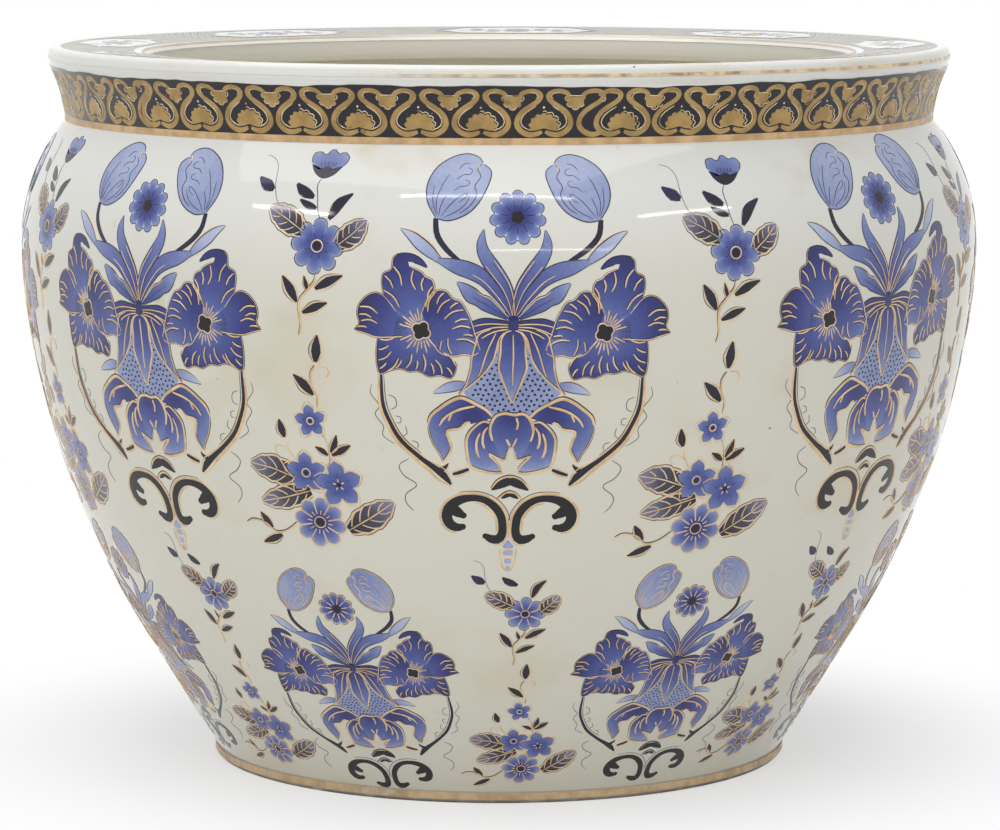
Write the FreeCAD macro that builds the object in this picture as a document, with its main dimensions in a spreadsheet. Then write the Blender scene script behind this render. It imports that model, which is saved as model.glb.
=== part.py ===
"""Porcelain fish bowl, in millimetres, standing on the floor with its axis along +Z.

The bowl is thrown as separate rings and a floor, which are luted to each other with slip: a foot ring,
a floor disc let into the heel, a lower wall up to the widest line, an upper wall that turns in over the
shoulder, a flared neck collar and a flat rim flange that reaches inward over the mouth.
An enamel band and four gilt lines lie on the fired surface.
Every piece is an outline in the XZ plane turned about Z. The origin is the centre of the foot on the floor.
"""
import FreeCAD, Part
import math
import os
import Sketcher

# Driving sizes. Heights are stacked from the floor up, and radii are taken inward from the widest line.
SIZES = {
    # Lower wall: a straight heel, a long slow curve and a fuller curve that ends upright at the widest line.
    "belly_radius": 203.0,
    "belly_height": 220.5,
    "belly_curve": 205.0,
    "belly_drop": 26.0,
    "heel_rise": 48.5,
    "wall": 10.0,
    # Foot ring, with its edges bevelled, and the floor let into the heel on a tapered seat.
    "foot_radius": 122.5,
    "foot_height": 5.0,
    "foot_width": 15.0,
    "foot_bevel": 1.2,
    "heel_width": 26.0,
    "floor_thickness": 12.0,
    "floor_taper": 4.0,
    "cove": 12.0,
    # Shoulder and neck collar.
    "shoulder_inset": 18.8,
    "shoulder_rise": 51.5,
    "neck_rise": 23.8,
    "neck_flare": 6.2,
    "flare_curve": 60.0,
    # Rim flange: a small upright lip outside and a dished face that falls towards the mouth.
    "lip_overhang": 0.7,
    "lip_step": 1.6,
    "lip_round": 2.4,
    "flange_thickness": 7.2,
    "flange_reach": 41.4,
    "flange_drop": 2.6,
    "mouth_bevel": 2.0,
    # Slip in every seam, and the coats fired on to the surface.
    "slip": 0.6,
    "coat": 0.3,
    "neck_gilt_width": 2.6,
    "foot_gilt_width": 2.8,
    "rim_gilt_width": 1.2,
}

FULL_TURN = 360.0
# Numbers by which a sketch knows its origin, its two axes and the centre of an arc.
CENTRE_INDEX = 3
ORIGIN_INDEX = (-1, 1)
HORIZONTAL_AXIS_INDEX = -1
VERTICAL_AXIS_INDEX = -2
SAME_PLACE = 1e-4


class Size:
    """A length that keeps both its number and the formula that ties it to the sheet."""

    def __init__(self, number, formula):
        self.number = number
        self.formula = formula

    @staticmethod
    def of(value):
        return value if isinstance(value, Size) else Size(value, str(value))

    def __add__(self, other):
        other = Size.of(other)
        return Size(self.number + other.number, f"({self.formula} + {other.formula})")

    def __sub__(self, other):
        other = Size.of(other)
        return Size(self.number - other.number, f"({self.formula} - {other.formula})")

    def __mul__(self, other):
        other = Size.of(other)
        return Size(self.number * other.number, f"({self.formula} * {other.formula})")

    def __truediv__(self, other):
        other = Size.of(other)
        return Size(self.number / other.number, f"({self.formula} / {other.formula})")


document = FreeCAD.newDocument("fish_bowl")
sheet = document.addObject("Spreadsheet::Sheet", "Sizes")
for row, (alias, number) in enumerate(SIZES.items(), start=1):
    sheet.set(f"A{row}", alias)
    sheet.set(f"B{row}", str(number))
    sheet.setAlias(f"B{row}", alias)
document.recompute()


def sheet_size(alias):
    """The named size, tied to its cell."""
    return Size(float(sheet.get(alias)), f"Sizes.{alias}")


def number_of(value):
    """The plain number of a size, or of a start value that other conditions settle."""
    return value.number if isinstance(value, Size) else value


def tie(sketch, kind, places, value):
    """Adds a measured condition to the outline, bound to the sheet."""
    index = sketch.addConstraint(Sketcher.Constraint(kind, *places, value.number))
    sketch.setExpression(f"Constraints[{index}]", value.formula)


def bent_edge(start, end, radius, side):
    """Arc from start to end with its centre on the left of the way there (side 1) or on the right (-1).

    The centre stands off the middle of the chord, square to it, by the other leg of the right triangle
    whose long side is the radius and whose short side is half the chord.
    """
    chord = end - start
    stand_off = math.sqrt(radius ** 2 - (chord.Length / 2) ** 2)
    across = FreeCAD.Vector(-chord.y, chord.x, 0).normalize()
    centre = (start + end) / 2 + across * (stand_off * side)
    first, last = (start, end) if side > 0 else (end, start)
    angles = [math.atan2(point.y - centre.y, point.x - centre.x) for point in (first, last)]
    circle = Part.Circle(centre, FreeCAD.Vector(0, 0, 1), radius)
    return Part.ArcOfCircle(circle, angles[0], angles[1])


def outline(label, corners, bends, smooth=()):
    """Body with a closed outline of (radius, height) corners, each edge running to the next corner.

    A corner's coordinate that is a Size is tied to the sheet, and a plain number is a start value only.
    Bends name the edges that are arcs, each with its radius and the side its centre is on.
    Smooth names the corners where the two edges are tangent.
    Returns the body, the sketch and the two end numbers of each edge.
    """
    body = document.addObject("PartDesign::Body", label)
    sketch = body.newObject("Sketcher::SketchObject", f"{label}_outline")
    plane = next(feature for feature in body.Origin.OriginFeatures if feature.Role == "XZ_Plane")
    sketch.AttachmentSupport = (plane, [""])
    sketch.MapMode = "FlatFace"
    points = [FreeCAD.Vector(number_of(radius), number_of(height), 0) for radius, height in corners]
    ends = []
    for edge, start in enumerate(points):
        end = points[(edge + 1) % len(points)]
        if edge in bends:
            radius, side = bends[edge]
            sketch.addGeometry(bent_edge(start, end, number_of(radius), side))
            ends.append((1, 2) if side > 0 else (2, 1))
            if isinstance(radius, Size):
                tie(sketch, "Radius", (edge,), radius)
        else:
            sketch.addGeometry(Part.LineSegment(start, end))
            ends.append((1, 2))
    for edge, (radius, height) in enumerate(corners):
        place = (edge, ends[edge][0])
        before = edge - 1 if edge else len(corners) - 1
        joint = "Tangent" if edge in smooth else "Coincident"
        sketch.addConstraint(Sketcher.Constraint(joint, before, ends[before][1], *place))
        if number_of(radius) == 0:
            sketch.addConstraint(Sketcher.Constraint("PointOnObject", *place, VERTICAL_AXIS_INDEX))
        elif isinstance(radius, Size):
            tie(sketch, "DistanceX", (*ORIGIN_INDEX, *place), radius)
        if number_of(height) == 0:
            sketch.addConstraint(Sketcher.Constraint("PointOnObject", *place, HORIZONTAL_AXIS_INDEX))
        elif isinstance(height, Size):
            tie(sketch, "DistanceY", (*ORIGIN_INDEX, *place), height)
    return body, sketch, ends


def turn(body, sketch):
    """Turns the outline once round the Z axis."""
    ring = body.newObject("PartDesign::Revolution", f"{body.Label}_turned")
    ring.Profile = sketch
    ring.ReferenceAxis = (sketch, ["V_Axis"])
    ring.Angle = FULL_TURN
    body.Tip = ring
    return ring


def turned(label, corners, bends=None):
    """Ring or disc whose corners and bends all have their own sizes."""
    body, sketch, _ = outline(label, corners, bends or {})
    turn(body, sketch)
    return body


size = {alias: sheet_size(alias) for alias in SIZES}
nothing = 0.0
wall = size["wall"]
slip = size["slip"]
coat = size["coat"]

# Levels and radii that neighbouring pieces share.
foot_radius = size["foot_radius"]
heel_base = size["foot_height"]
floor_radius = foot_radius - size["heel_width"]
floor_top = heel_base + size["floor_thickness"]
floor_top_radius = floor_radius + size["floor_taper"]
belly_radius = size["belly_radius"]
belly_height = size["belly_height"]
shoulder_base = belly_height + slip
neck_radius = belly_radius - size["shoulder_inset"]
neck_height = shoulder_base + size["shoulder_rise"]
collar_base = neck_height + slip
flare_base = neck_height + size["neck_gilt_width"]
seat_radius = neck_radius + size["neck_flare"]
seat_height = neck_height + size["neck_rise"]
rim_radius = seat_radius + size["lip_overhang"]
rim_height = seat_height + size["flange_thickness"]
mouth_radius = rim_radius - size["flange_reach"]
mouth_height = rim_height - size["flange_drop"]
# Fall of the flange's seat across the thickness of the collar under it.
seat_fall = wall * size["flange_drop"] / (seat_radius - mouth_radius)


def make_foot_ring():
    """Ring that carries the bowl, with both edges that meet the floor bevelled."""
    inner = foot_radius - size["foot_width"]
    edge = size["foot_bevel"]
    top = heel_base - slip
    corners = [
        (inner + edge, nothing),
        (foot_radius - edge, nothing),
        (foot_radius, edge),
        (foot_radius, top),
        (inner, top),
        (inner, edge),
    ]
    return turned("foot_ring", corners)


def make_floor_disc():
    """Floor slab, wider above than below, so that it rests in the taper of the heel."""
    corners = [
        (nothing, heel_base),
        (floor_radius, heel_base),
        (floor_top_radius, floor_top),
        (nothing, floor_top),
    ]
    return turned("floor_disc", corners)


def make_lower_wall():
    """Wall from the heel to the widest line: a straight heel and two curves, each tangent to the next.

    The radius and the ends of the slow curve follow from the tangents, so they have start values only:
    a parabola from the widest line to the foot gives the top of the heel.
    The inner face repeats the outer one, moved inward by the wall, and a cove rounds it into the floor.
    """
    curve = size["belly_curve"]
    heel_top = heel_base + size["heel_rise"]
    change = belly_height - size["belly_drop"]
    full_turn = math.asin(size["belly_drop"].number / curve.number)
    change_radius = belly_radius.number - curve.number * (1 - math.cos(full_turn))
    share = (belly_height.number - heel_top.number) / (belly_height.number - heel_base.number)
    heel_radius = belly_radius.number - (belly_radius.number - foot_radius.number) * share ** 2
    lean = math.atan2(heel_radius - foot_radius.number, size["heel_rise"].number)
    chord = math.hypot(change_radius - heel_radius, change.number - heel_top.number)
    slow_curve = chord / (2 * math.sin((lean - full_turn) / 2))
    floor_corner = foot_radius.number - wall.number + size["floor_thickness"].number * math.tan(lean)
    corners = [
        (floor_radius + slip, heel_base),
        (foot_radius, heel_base),
        (heel_radius, heel_top),
        (change_radius, change),
        (belly_radius, belly_height),
        (belly_radius - wall, belly_height),
        (change_radius - wall.number, change),
        (heel_radius - wall.number, heel_top),
        (floor_corner, floor_top),
        (floor_top_radius + slip, floor_top),
    ]
    heel, slow, full, inner_full, inner_slow, inner_heel = 1, 2, 3, 5, 6, 7
    bends = {slow: (slow_curve, 1), full: (curve, 1), inner_full: (curve, -1), inner_slow: (slow_curve, -1)}
    body, sketch, ends = outline("lower_wall", corners, bends, smooth=(slow, full))
    tie(sketch, "DistanceY", (*ORIGIN_INDEX, full, CENTRE_INDEX), belly_height)
    tie(sketch, "DistanceX", (inner_slow, ends[inner_slow][0], full, ends[full][0]), wall)
    tie(sketch, "DistanceX", (inner_heel, ends[inner_heel][0], slow, ends[slow][0]), wall)
    sketch.addConstraint(Sketcher.Constraint("Equal", slow, inner_slow))
    sketch.addConstraint(Sketcher.Constraint("Parallel", heel, inner_heel))
    ring = turn(body, sketch)
    document.recompute()
    at_floor = [
        (edge.Curve.Radius, f"Edge{index}")
        for index, edge in enumerate(ring.Shape.Edges, start=1)
        if isinstance(edge.Curve, Part.Circle)
        and abs(edge.Curve.Center.z - floor_top.number) < SAME_PLACE
    ]
    cove = body.newObject("PartDesign::Fillet", "cove")
    cove.Base = (ring, [max(at_floor)[1]])
    cove.setExpression("Radius", size["cove"].formula)
    body.Tip = cove
    return body


def make_upper_wall():
    """Shoulder, an arc that starts upright at the widest line and turns in to the neck."""
    inset = size["shoulder_inset"]
    rise = size["shoulder_rise"]
    curve = (inset * inset + rise * rise) / (inset * 2)
    corners = [
        (belly_radius - wall, shoulder_base),
        (belly_radius, shoulder_base),
        (neck_radius, neck_height),
        (neck_radius - wall, neck_height),
    ]
    return turned("upper_wall", corners, {1: (curve, 1), 3: (curve, -1)})


def make_neck_collar():
    """Collar with an upright land for the gilt line, then a hollow flare up to the flange."""
    curve = size["flare_curve"]
    corners = [
        (neck_radius - wall, collar_base),
        (neck_radius, collar_base),
        (neck_radius, flare_base),
        (seat_radius, seat_height - slip),
        (seat_radius - wall, seat_height - slip - seat_fall),
        (neck_radius - wall, flare_base),
    ]
    return turned("neck_collar", corners, {2: (curve, -1), 4: (curve, 1)})


def make_rim_flange():
    """Flat rim: stepped out under an upright lip with a rounded top, dished, and bevelled at the mouth."""
    lip_round = size["lip_round"]
    bevel = size["mouth_bevel"]
    corners = [
        (mouth_radius, mouth_height - size["flange_thickness"]),
        (seat_radius, seat_height),
        (rim_radius, seat_height + size["lip_step"]),
        (rim_radius, rim_height - lip_round),
        (rim_radius - lip_round, rim_height),
        (mouth_radius + bevel, mouth_height),
        (mouth_radius, mouth_height - bevel),
    ]
    return turned("rim_flange", corners, {3: (lip_round, 1)})


def make_slip_rings():
    """The slip that lutes one piece to the next, one ring to a seam."""
    foot_inner = foot_radius - size["foot_width"]
    foot_slip = [
        (foot_inner, heel_base - slip),
        (foot_radius, heel_base - slip),
        (foot_radius, heel_base),
        (foot_inner, heel_base),
    ]
    floor_slip = [
        (floor_radius, heel_base),
        (floor_radius + slip, heel_base),
        (floor_top_radius + slip, floor_top),
        (floor_top_radius, floor_top),
    ]
    belly_slip = [
        (belly_radius - wall, belly_height),
        (belly_radius, belly_height),
        (belly_radius, shoulder_base),
        (belly_radius - wall, shoulder_base),
    ]
    neck_slip = [
        (neck_radius - wall, neck_height),
        (neck_radius, neck_height),
        (neck_radius, collar_base),
        (neck_radius - wall, collar_base),
    ]
    rim_slip = [
        (seat_radius - wall, seat_height - slip - seat_fall),
        (seat_radius, seat_height - slip),
        (seat_radius, seat_height),
        (seat_radius - wall, seat_height - seat_fall),
    ]
    return [
        turned("foot_slip", foot_slip),
        turned("floor_slip", floor_slip),
        turned("belly_slip", belly_slip),
        turned("neck_slip", neck_slip),
        turned("rim_slip", rim_slip),
    ]


def upright_line(label, radius, base, width):
    """Gilt line on an upright face, proud of it by the coat."""
    corners = [
        (radius, base),
        (radius + coat, base),
        (radius + coat, base + width),
        (radius, base + width),
    ]
    return turned(label, corners)


def make_gilt_lines():
    """Gilt lines on the foot, under the neck and on the lip, and one over the bevelled edge of the mouth."""
    foot_width = size["foot_gilt_width"]
    lip_face = (seat_height + size["lip_step"] + rim_height - size["lip_round"]) / 2
    rim_width = size["rim_gilt_width"]
    bevel = size["mouth_bevel"]
    mouth_line = [
        (mouth_radius, mouth_height - bevel),
        (mouth_radius + bevel, mouth_height),
        (mouth_radius + bevel, mouth_height + coat),
        (mouth_radius - coat, mouth_height - bevel),
    ]
    return [
        upright_line("foot_gilt", foot_radius, heel_base - slip - foot_width, foot_width),
        upright_line("neck_gilt", neck_radius, neck_height, size["neck_gilt_width"]),
        upright_line("rim_gilt", rim_radius, lip_face - rim_width / 2, rim_width),
        turned("mouth_gilt", mouth_line),
    ]


def make_neck_enamel():
    """Dark enamel band over the whole flare of the collar."""
    curve = size["flare_curve"]
    top = seat_height - slip
    corners = [
        (neck_radius, flare_base),
        (neck_radius + coat, flare_base),
        (seat_radius + coat, top),
        (seat_radius, top),
    ]
    return turned("neck_enamel", corners, {1: (curve, -1), 3: (curve, 1)})


pieces = [
    make_foot_ring(),
    make_floor_disc(),
    make_lower_wall(),
    make_upper_wall(),
    make_neck_collar(),
    make_rim_flange(),
    *make_slip_rings(),
    *make_gilt_lines(),
    make_neck_enamel(),
]
document.recompute()

for item in document.Objects:
    if "Invalid" in item.State or "Error" in item.State:
        raise RuntimeError(f"{item.Label} did not build: {item.State}")
for piece in pieces:
    piece.Placement = FreeCAD.Placement()
    if piece.Shape.isNull() or not piece.Shape.isValid():
        raise RuntimeError(f"{piece.Label} has no valid shape")

os.makedirs("parts", exist_ok=True)
for piece in pieces:
    piece.Shape.exportStep(f"parts/{piece.Label}.step")
    print(f"{piece.Label}: {piece.Shape.Volume / 1000:.1f} cubic centimetres")
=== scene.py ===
"""Porcelain fish bowl: glaze, painted bouquets, gilding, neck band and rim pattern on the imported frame.

Shapes are worked out in millimetres and put into their meshes in metres.
"""
from collections import namedtuple

import bpy
import numpy as np
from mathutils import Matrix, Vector


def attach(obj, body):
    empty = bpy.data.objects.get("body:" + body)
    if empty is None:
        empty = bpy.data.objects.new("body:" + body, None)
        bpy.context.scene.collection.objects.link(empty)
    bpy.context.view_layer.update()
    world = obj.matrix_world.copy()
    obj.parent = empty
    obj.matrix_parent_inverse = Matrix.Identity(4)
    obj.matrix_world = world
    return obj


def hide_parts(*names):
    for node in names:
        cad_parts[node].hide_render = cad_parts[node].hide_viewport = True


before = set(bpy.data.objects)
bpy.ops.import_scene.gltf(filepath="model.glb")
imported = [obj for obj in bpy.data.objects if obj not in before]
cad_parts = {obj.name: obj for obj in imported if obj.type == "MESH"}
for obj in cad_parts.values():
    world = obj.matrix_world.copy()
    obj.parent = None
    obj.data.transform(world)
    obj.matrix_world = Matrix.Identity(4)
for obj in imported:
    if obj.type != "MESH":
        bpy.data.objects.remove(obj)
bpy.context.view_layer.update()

MILLIMETRE = 0.001
FULL_TURN = 2 * np.pi

# Outline of the bowl: radii and heights of the places where its curves change.
FOOT_RADIUS = 122.5
FOOT_INNER = 107.5
FOOT_HEIGHT = 5.0
FOOT_BEVEL = 1.2
HEEL_END = (151.987, 53.5)
BELLY_START = (201.345, 194.5)
BELLY = (203.0, 220.5)
SHOULDER_START = (203.0, 221.1)
NECK = (184.2, 272.6)
FLARE_START = (184.2, 275.2)
FLARE_END = (190.4, 295.8)
RIM_RADIUS = 191.1
RIM_TOP = 303.6
LIP_ROUND = 2.4
MOUTH_RADIUS = 149.7
MOUTH_TOP = 301.0
MOUTH_BEVEL = 2.0
MOUTH_UNDERSIDE = 293.8
WALL = 10.0
FLOOR_TOP = 17.0
FLOOR_CORNER = 119.8
COVE_REACH = 6.75
SLOW_CURVE = 359.08
BELLY_CURVE = 205.0
SHOULDER_CURVE = 79.93
FLARE_CURVE = 60.0
COAT = 0.3
# Heights over the flare at which the step under the lip starts and ends.
LIP_STEP_LOW = 0.6
LIP_STEP_HIGH = 2.2
# Drops of the inside: of the mouth's lower edge, and of the corner under the rim.
MOUTH_EDGE_DROP = 5.2
NECK_CORNER_DROP = 0.05

# How far the rounding of a corner reaches along its sides.
LIP_FOOT_SOFTNESS = 0.4
LIP_STEP_SOFTNESS = 0.7
MOUTH_SOFTNESS = 0.6
MOUTH_EDGE_SOFTNESS = 8.0
NECK_CORNER_SOFTNESS = 1.0
FOOT_SOFTNESS = 1.5
# Points of a rounded corner.
CORNER_POINTS = 5

# Steps of the bowl's own mesh, round the axis and along its outlines.
TURN_STEPS = 360
PROFILE_STEP = 3.4
INSIDE_STEP = 4.6
LIP_STEP = 0.5
# Step of the fine outline that the coats are laid on.
SKIN_STEP = 0.5
# Distance under which two points are one, and the least length that a heading is divided by.
SAME_PLACE = 1e-6
SHORTEST_HEADING = 1e-9

# Slow waves that the throwing leaves in the wall, and the heights between which they grow and die out.
WAVE_HEIGHT = 0.07
WAVE_START = 12.0
WAVE_FULL = 52.0
WAVE_FALL = 254.0
WAVE_END = 268.0

# Map that every piece is given, and the free edge of every coat's cell in it.
BAKE_MAP = "OFBake"
CELL_MARGIN = 0.08
# Kinds of coat that stand up as lines and keep their own normals.
RAISED = ("gilt", "light")
# Period of the neck band in millimetres, and its printed strips: first unit, units and step in degrees.
NECK_PERIOD = 24.3
NECK_STRIPS = (
    (-46.85, 8, 7.457), (14.92, 8, 7.28), (75.4, 8, 7.4), (136.7, 8, 7.4), (198.0, 8, 7.4), (259.3, 7, 7.57),
)
# Periods of the rim's lattice round the rim and across it.
LATTICE_PERIODS = 230
LATTICE_ROWS = 7
# Radius of the thin line that is left of the mouth's gold.
MOUTH_LINE = 151.1


def arc_points(start, end, radius, side, step):
    """Arc between two points of the outline, its centre on the left of the way (side 1) or on the right (-1).

    The centre stands off the middle of the chord by the other leg of the triangle of radius and half chord,
    and the points go round it at equal angles.
    """
    start = np.asarray(start, float)
    end = np.asarray(end, float)
    chord = end - start
    length = np.hypot(*chord)
    across = np.array([-chord[1], chord[0]]) / length
    centre = (start + end) / 2 + side * across * np.sqrt(radius ** 2 - length ** 2 / 4)
    sweep = side * 2 * np.arcsin(length / (2 * radius))
    angle = np.linspace(0, sweep, max(3, int(np.ceil(radius * abs(sweep) / step)) + 1))
    ray = start - centre
    cosine = np.cos(angle)
    sine = np.sin(angle)
    return centre + np.stack([cosine * ray[0] - sine * ray[1], sine * ray[0] + cosine * ray[1]], 1)


def soft_corner(before, corner, after, reach):
    """Rounded corner: the parabola that leaves one side and meets the other at the reach from the corner."""
    before, corner, after = (np.asarray(point, float) for point in (before, corner, after))
    start = corner + (before - corner) / np.hypot(*(before - corner)) * reach
    end = corner + (after - corner) / np.hypot(*(after - corner)) * reach
    share = np.linspace(0, 1, CORNER_POINTS)[:, None]
    return (1 - share) ** 2 * start + 2 * share * (1 - share) * corner + share ** 2 * end


def evened(points, step):
    """The same outline with long straight runs divided, so that no step is longer than the one given."""
    points = np.asarray(points, float)
    gaps = np.hypot(*np.diff(points, axis=0).T)
    points = points[np.concatenate([[True], gaps > SAME_PLACE])]
    gaps = np.hypot(*np.diff(points, axis=0).T)
    length = np.concatenate([[0], np.cumsum(gaps)])
    parts = np.maximum(1, np.ceil(gaps / step).astype(int))
    runs = zip(length, length[1:], parts)
    places = np.concatenate([np.linspace(start, end, count, endpoint=False) for start, end, count in runs])
    places = np.append(places, length[-1])
    return np.stack([np.interp(places, length, column) for column in points.T], 1)


def outside_outline(step):
    """Outline of the glazed outside, from the foot over heel, belly, neck, lip and rim to the mouth."""
    lip_side = (RIM_RADIUS, RIM_TOP - LIP_ROUND)
    lip_top = (RIM_RADIUS - LIP_ROUND, RIM_TOP)
    lip_foot = (FLARE_END[0], FLARE_END[1] + LIP_STEP_LOW)
    lip_step = (RIM_RADIUS, FLARE_END[1] + LIP_STEP_HIGH)
    mouth_edge = (MOUTH_RADIUS + MOUTH_BEVEL, MOUTH_TOP)
    mouth_side = (MOUTH_RADIUS, MOUTH_TOP - MOUTH_BEVEL)
    runs = [
        [(FOOT_RADIUS, FOOT_HEIGHT), HEEL_END],
        arc_points(HEEL_END, BELLY_START, SLOW_CURVE, 1, step),
        arc_points(BELLY_START, BELLY, BELLY_CURVE, 1, step),
        arc_points(SHOULDER_START, NECK, SHOULDER_CURVE, 1, step / 2),
        arc_points(FLARE_START, FLARE_END, FLARE_CURVE, -1, step / 2),
        soft_corner(FLARE_END, lip_foot, lip_step, LIP_FOOT_SOFTNESS),
        soft_corner(lip_foot, lip_step, lip_side, LIP_STEP_SOFTNESS),
        arc_points(lip_side, lip_top, LIP_ROUND, 1, LIP_STEP),
        soft_corner(lip_top, mouth_edge, mouth_side, MOUTH_SOFTNESS),
        soft_corner(mouth_edge, mouth_side, (MOUTH_RADIUS, MOUTH_UNDERSIDE), MOUTH_SOFTNESS),
    ]
    return evened(np.vstack(runs), step)


def inside_outline(step):
    """Outline of the inside, from the mouth under the rim, down the wall and round the cove to the axis."""
    under = (MOUTH_RADIUS, MOUTH_UNDERSIDE - MOUTH_EDGE_DROP)
    neck_top = (FLARE_END[0] - WALL, FLARE_END[1] - NECK_CORNER_DROP)
    shift = np.array([-WALL, 0.0])
    runs = [
        soft_corner((MOUTH_RADIUS, MOUTH_TOP - MOUTH_BEVEL), under, neck_top, MOUTH_EDGE_SOFTNESS),
        soft_corner(under, neck_top, FLARE_START + shift, NECK_CORNER_SOFTNESS),
        arc_points(FLARE_START, FLARE_END, FLARE_CURVE, -1, step)[-2::-1] + shift,
        arc_points(SHOULDER_START, NECK, SHOULDER_CURVE, 1, step)[::-1] + shift,
        arc_points(BELLY_START, BELLY, BELLY_CURVE, 1, step)[::-1] + shift,
        arc_points(HEEL_END, BELLY_START, SLOW_CURVE, 1, step)[::-1] + shift,
        soft_corner(HEEL_END + shift, (FLOOR_CORNER, FLOOR_TOP), (0.0, FLOOR_TOP), COVE_REACH),
        [(0.0, FLOOR_TOP)],
    ]
    return evened(np.vstack(runs), step)


def foot_outline(step):
    """Outline of the bare foot: from the middle of the underside to the ring and up its outer face."""
    ring_foot = 0.0
    runs = [
        [(0.0, FOOT_HEIGHT)],
        soft_corner((0.0, FOOT_HEIGHT), (FOOT_INNER, FOOT_HEIGHT), (FOOT_INNER, FOOT_BEVEL), FOOT_SOFTNESS),
        [(FOOT_INNER, FOOT_BEVEL), (FOOT_INNER + FOOT_BEVEL, ring_foot)],
        [(FOOT_RADIUS - FOOT_BEVEL, ring_foot), (FOOT_RADIUS, FOOT_BEVEL), (FOOT_RADIUS, FOOT_HEIGHT)],
    ]
    return evened(np.vstack(runs), step)


def wave(azimuth, height):
    """Slow unevenness of the thrown wall: three crossing sine waves that die out at the foot and the neck."""
    growth = np.clip((height - WAVE_START) / (WAVE_FULL - WAVE_START), 0, 1)
    rise = growth * np.clip((WAVE_END - height) / (WAVE_END - WAVE_FALL), 0, 1)
    sway = np.sin(2 * azimuth + 0.02 * height + 0.6) + 0.5 * np.sin(5 * azimuth - 0.05 * height)
    ridges = 0.35 * np.sin(0.3 * height + 1.5 * np.sin(3 * azimuth))
    return WAVE_HEIGHT * rise * (sway + ridges)


class Skin:
    """The glazed outside by its arc length from the foot: where a point of it lies and which way it faces."""

    def __init__(self):
        points = outside_outline(SKIN_STEP)
        slope = np.gradient(points, axis=0)
        slope /= np.hypot(slope[:, 0], slope[:, 1])[:, None]
        gaps = np.hypot(*np.diff(points, axis=0).T)
        self.arc = np.concatenate([[0], np.cumsum(gaps)])
        self.radius, self.height = points.T
        self.out, self.up = slope[:, 1], -slope[:, 0]
        rising = np.argmax(self.height) + 1
        self.rising = self.arc[:rising], self.height[:rising]

    def arc_at(self, height):
        """Arc length at which the outside reaches a height."""
        return np.interp(height, self.rising[1], self.rising[0])

    def radius_at(self, arc):
        """Radius of the outside at an arc length."""
        return np.interp(arc, self.arc, self.radius)

    def facing(self, azimuth, arc):
        """Unit normals: the outline's normal turned about the axis."""
        out = np.interp(arc, self.arc, self.out)
        up = np.interp(arc, self.arc, self.up)
        normals = np.stack([out * np.sin(azimuth), -out * np.cos(azimuth), up], -1)
        return normals / np.linalg.norm(normals, axis=-1, keepdims=True)

    def place(self, azimuth, arc, lift):
        """Points at a lift over the glaze along its normal, on the wall's own waves. Azimuth 0 faces -Y."""
        height = np.interp(arc, self.arc, self.height)
        radius = self.radius_at(arc) + wave(azimuth, height)
        foot = np.stack([radius * np.sin(azimuth), -radius * np.cos(azimuth), height], -1)
        return foot + self.facing(azimuth, arc) * np.asarray(lift)[..., None]


skin = Skin()


# Coats: heights over the glaze in millimetres. An edge ends a little below it, so that the coat closes on it.
FILM_LIFT = 0.05
FILM_STEP = 0.03
BEAD_LIFT = 0.09
EDGE_SINK = -0.05
# Gap between a gilt line and the printed line under it, whose width is a share of the gilt one's.
PRINT_SHIFT = (-0.14, 0.34)
PRINT_WIDTH = 0.95
PRINT_TONE = 0.25

# Points of a smooth line between two that are given, and the length between those along a leaf's edge.
SPAN_POINTS = 10
EDGE_STEP = 2.5
# Power with which lines thin out towards their ends, and the shares by which they do.
TAPER_POWER = 4
OUTLINE_TAPER = 0.35
EDGE_TAPER = 0.7
RAY_TAPER = 0.7
COMB_TAPER = 0.75

# Shares of the half width at which the points across a leaf and across a raised line lie.
LEAF_ACROSS = np.array([-1, -0.9, 0, 0.9, 1])
LINE_ACROSS = np.array([-1, -0.5, 0.5, 1])
# Shares of the way from the middle to the edge at which the rings of a petal, a flower and a dot lie.
PETAL_RINGS = np.array([0.02, 0.35, 0.68, 0.965, 1.0])
FLOWER_RINGS = np.array([0.05, 0.35, 0.7, 0.94, 1.0])
DOT_RINGS = np.array([0.7, 1.0])
DOT_SIDES = 6
# Points round a flower and round a line about it: the least number, and those of each lobe.
FLOWER_POINTS = 10
FLOWER_LOBE_POINTS = 8
RING_POINTS = 14
RING_LOBE_POINTS = 9
# Length of a leaf's rows, the least and the most of them in a leaf and in a line, and the least half width.
LEAF_ROW = 1.8
LEAF_ROWS = (6, 22)
LINE_ROWS = (4, 60)
LEAST_WIDTH = 0.04

# Lobes of a toothed leaf: how many, their rows, the share of the width that is cut back between them, and the
# power with which it falls.
LEAF_TEETH = 4
TOOTH_ROWS = 5
LOBE_DEPTH = 0.16
LOBE_POWER = 1.5
# Points of its spine, the points at which its veins leave, and how many points further on they end.
SPINE_POINTS = 41
VEIN_STARTS = (3, 10, 17, 25)
VEIN_LEAN = 10
# Share by which a small leaf is fuller than its drawn width.
LEAF_FULLNESS = 1.3

# Points from which a petal's comb starts, the lengths that its lines take in turn, and the share of the way
# to the centre that none of them passes.
COMB_POINTS = 60
COMB_LENGTHS = (1.0, 0.72, 0.9, 0.6)
COMB_END = 0.8
# Place and width of the printed line beside a line of the comb, as shares of its width.
COMB_PRINT_ASIDE = 0.7
COMB_PRINT_WIDTH = 0.8
COMB_PRINT_TONE = 0.1
# Share of the long rays' reach that the short ones have.
SHORT_RAY = 0.7

# Tones of the enamel, from near black to the palest wash.
BLACK = 0.04
NAVY = 0.16
COBALT = 0.34
MIDDLE = 0.52
SOFT = 0.68
PALE = 0.84
WASH = 0.95

Coat = namedtuple("Coat", "kind grid height tone form")


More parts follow.
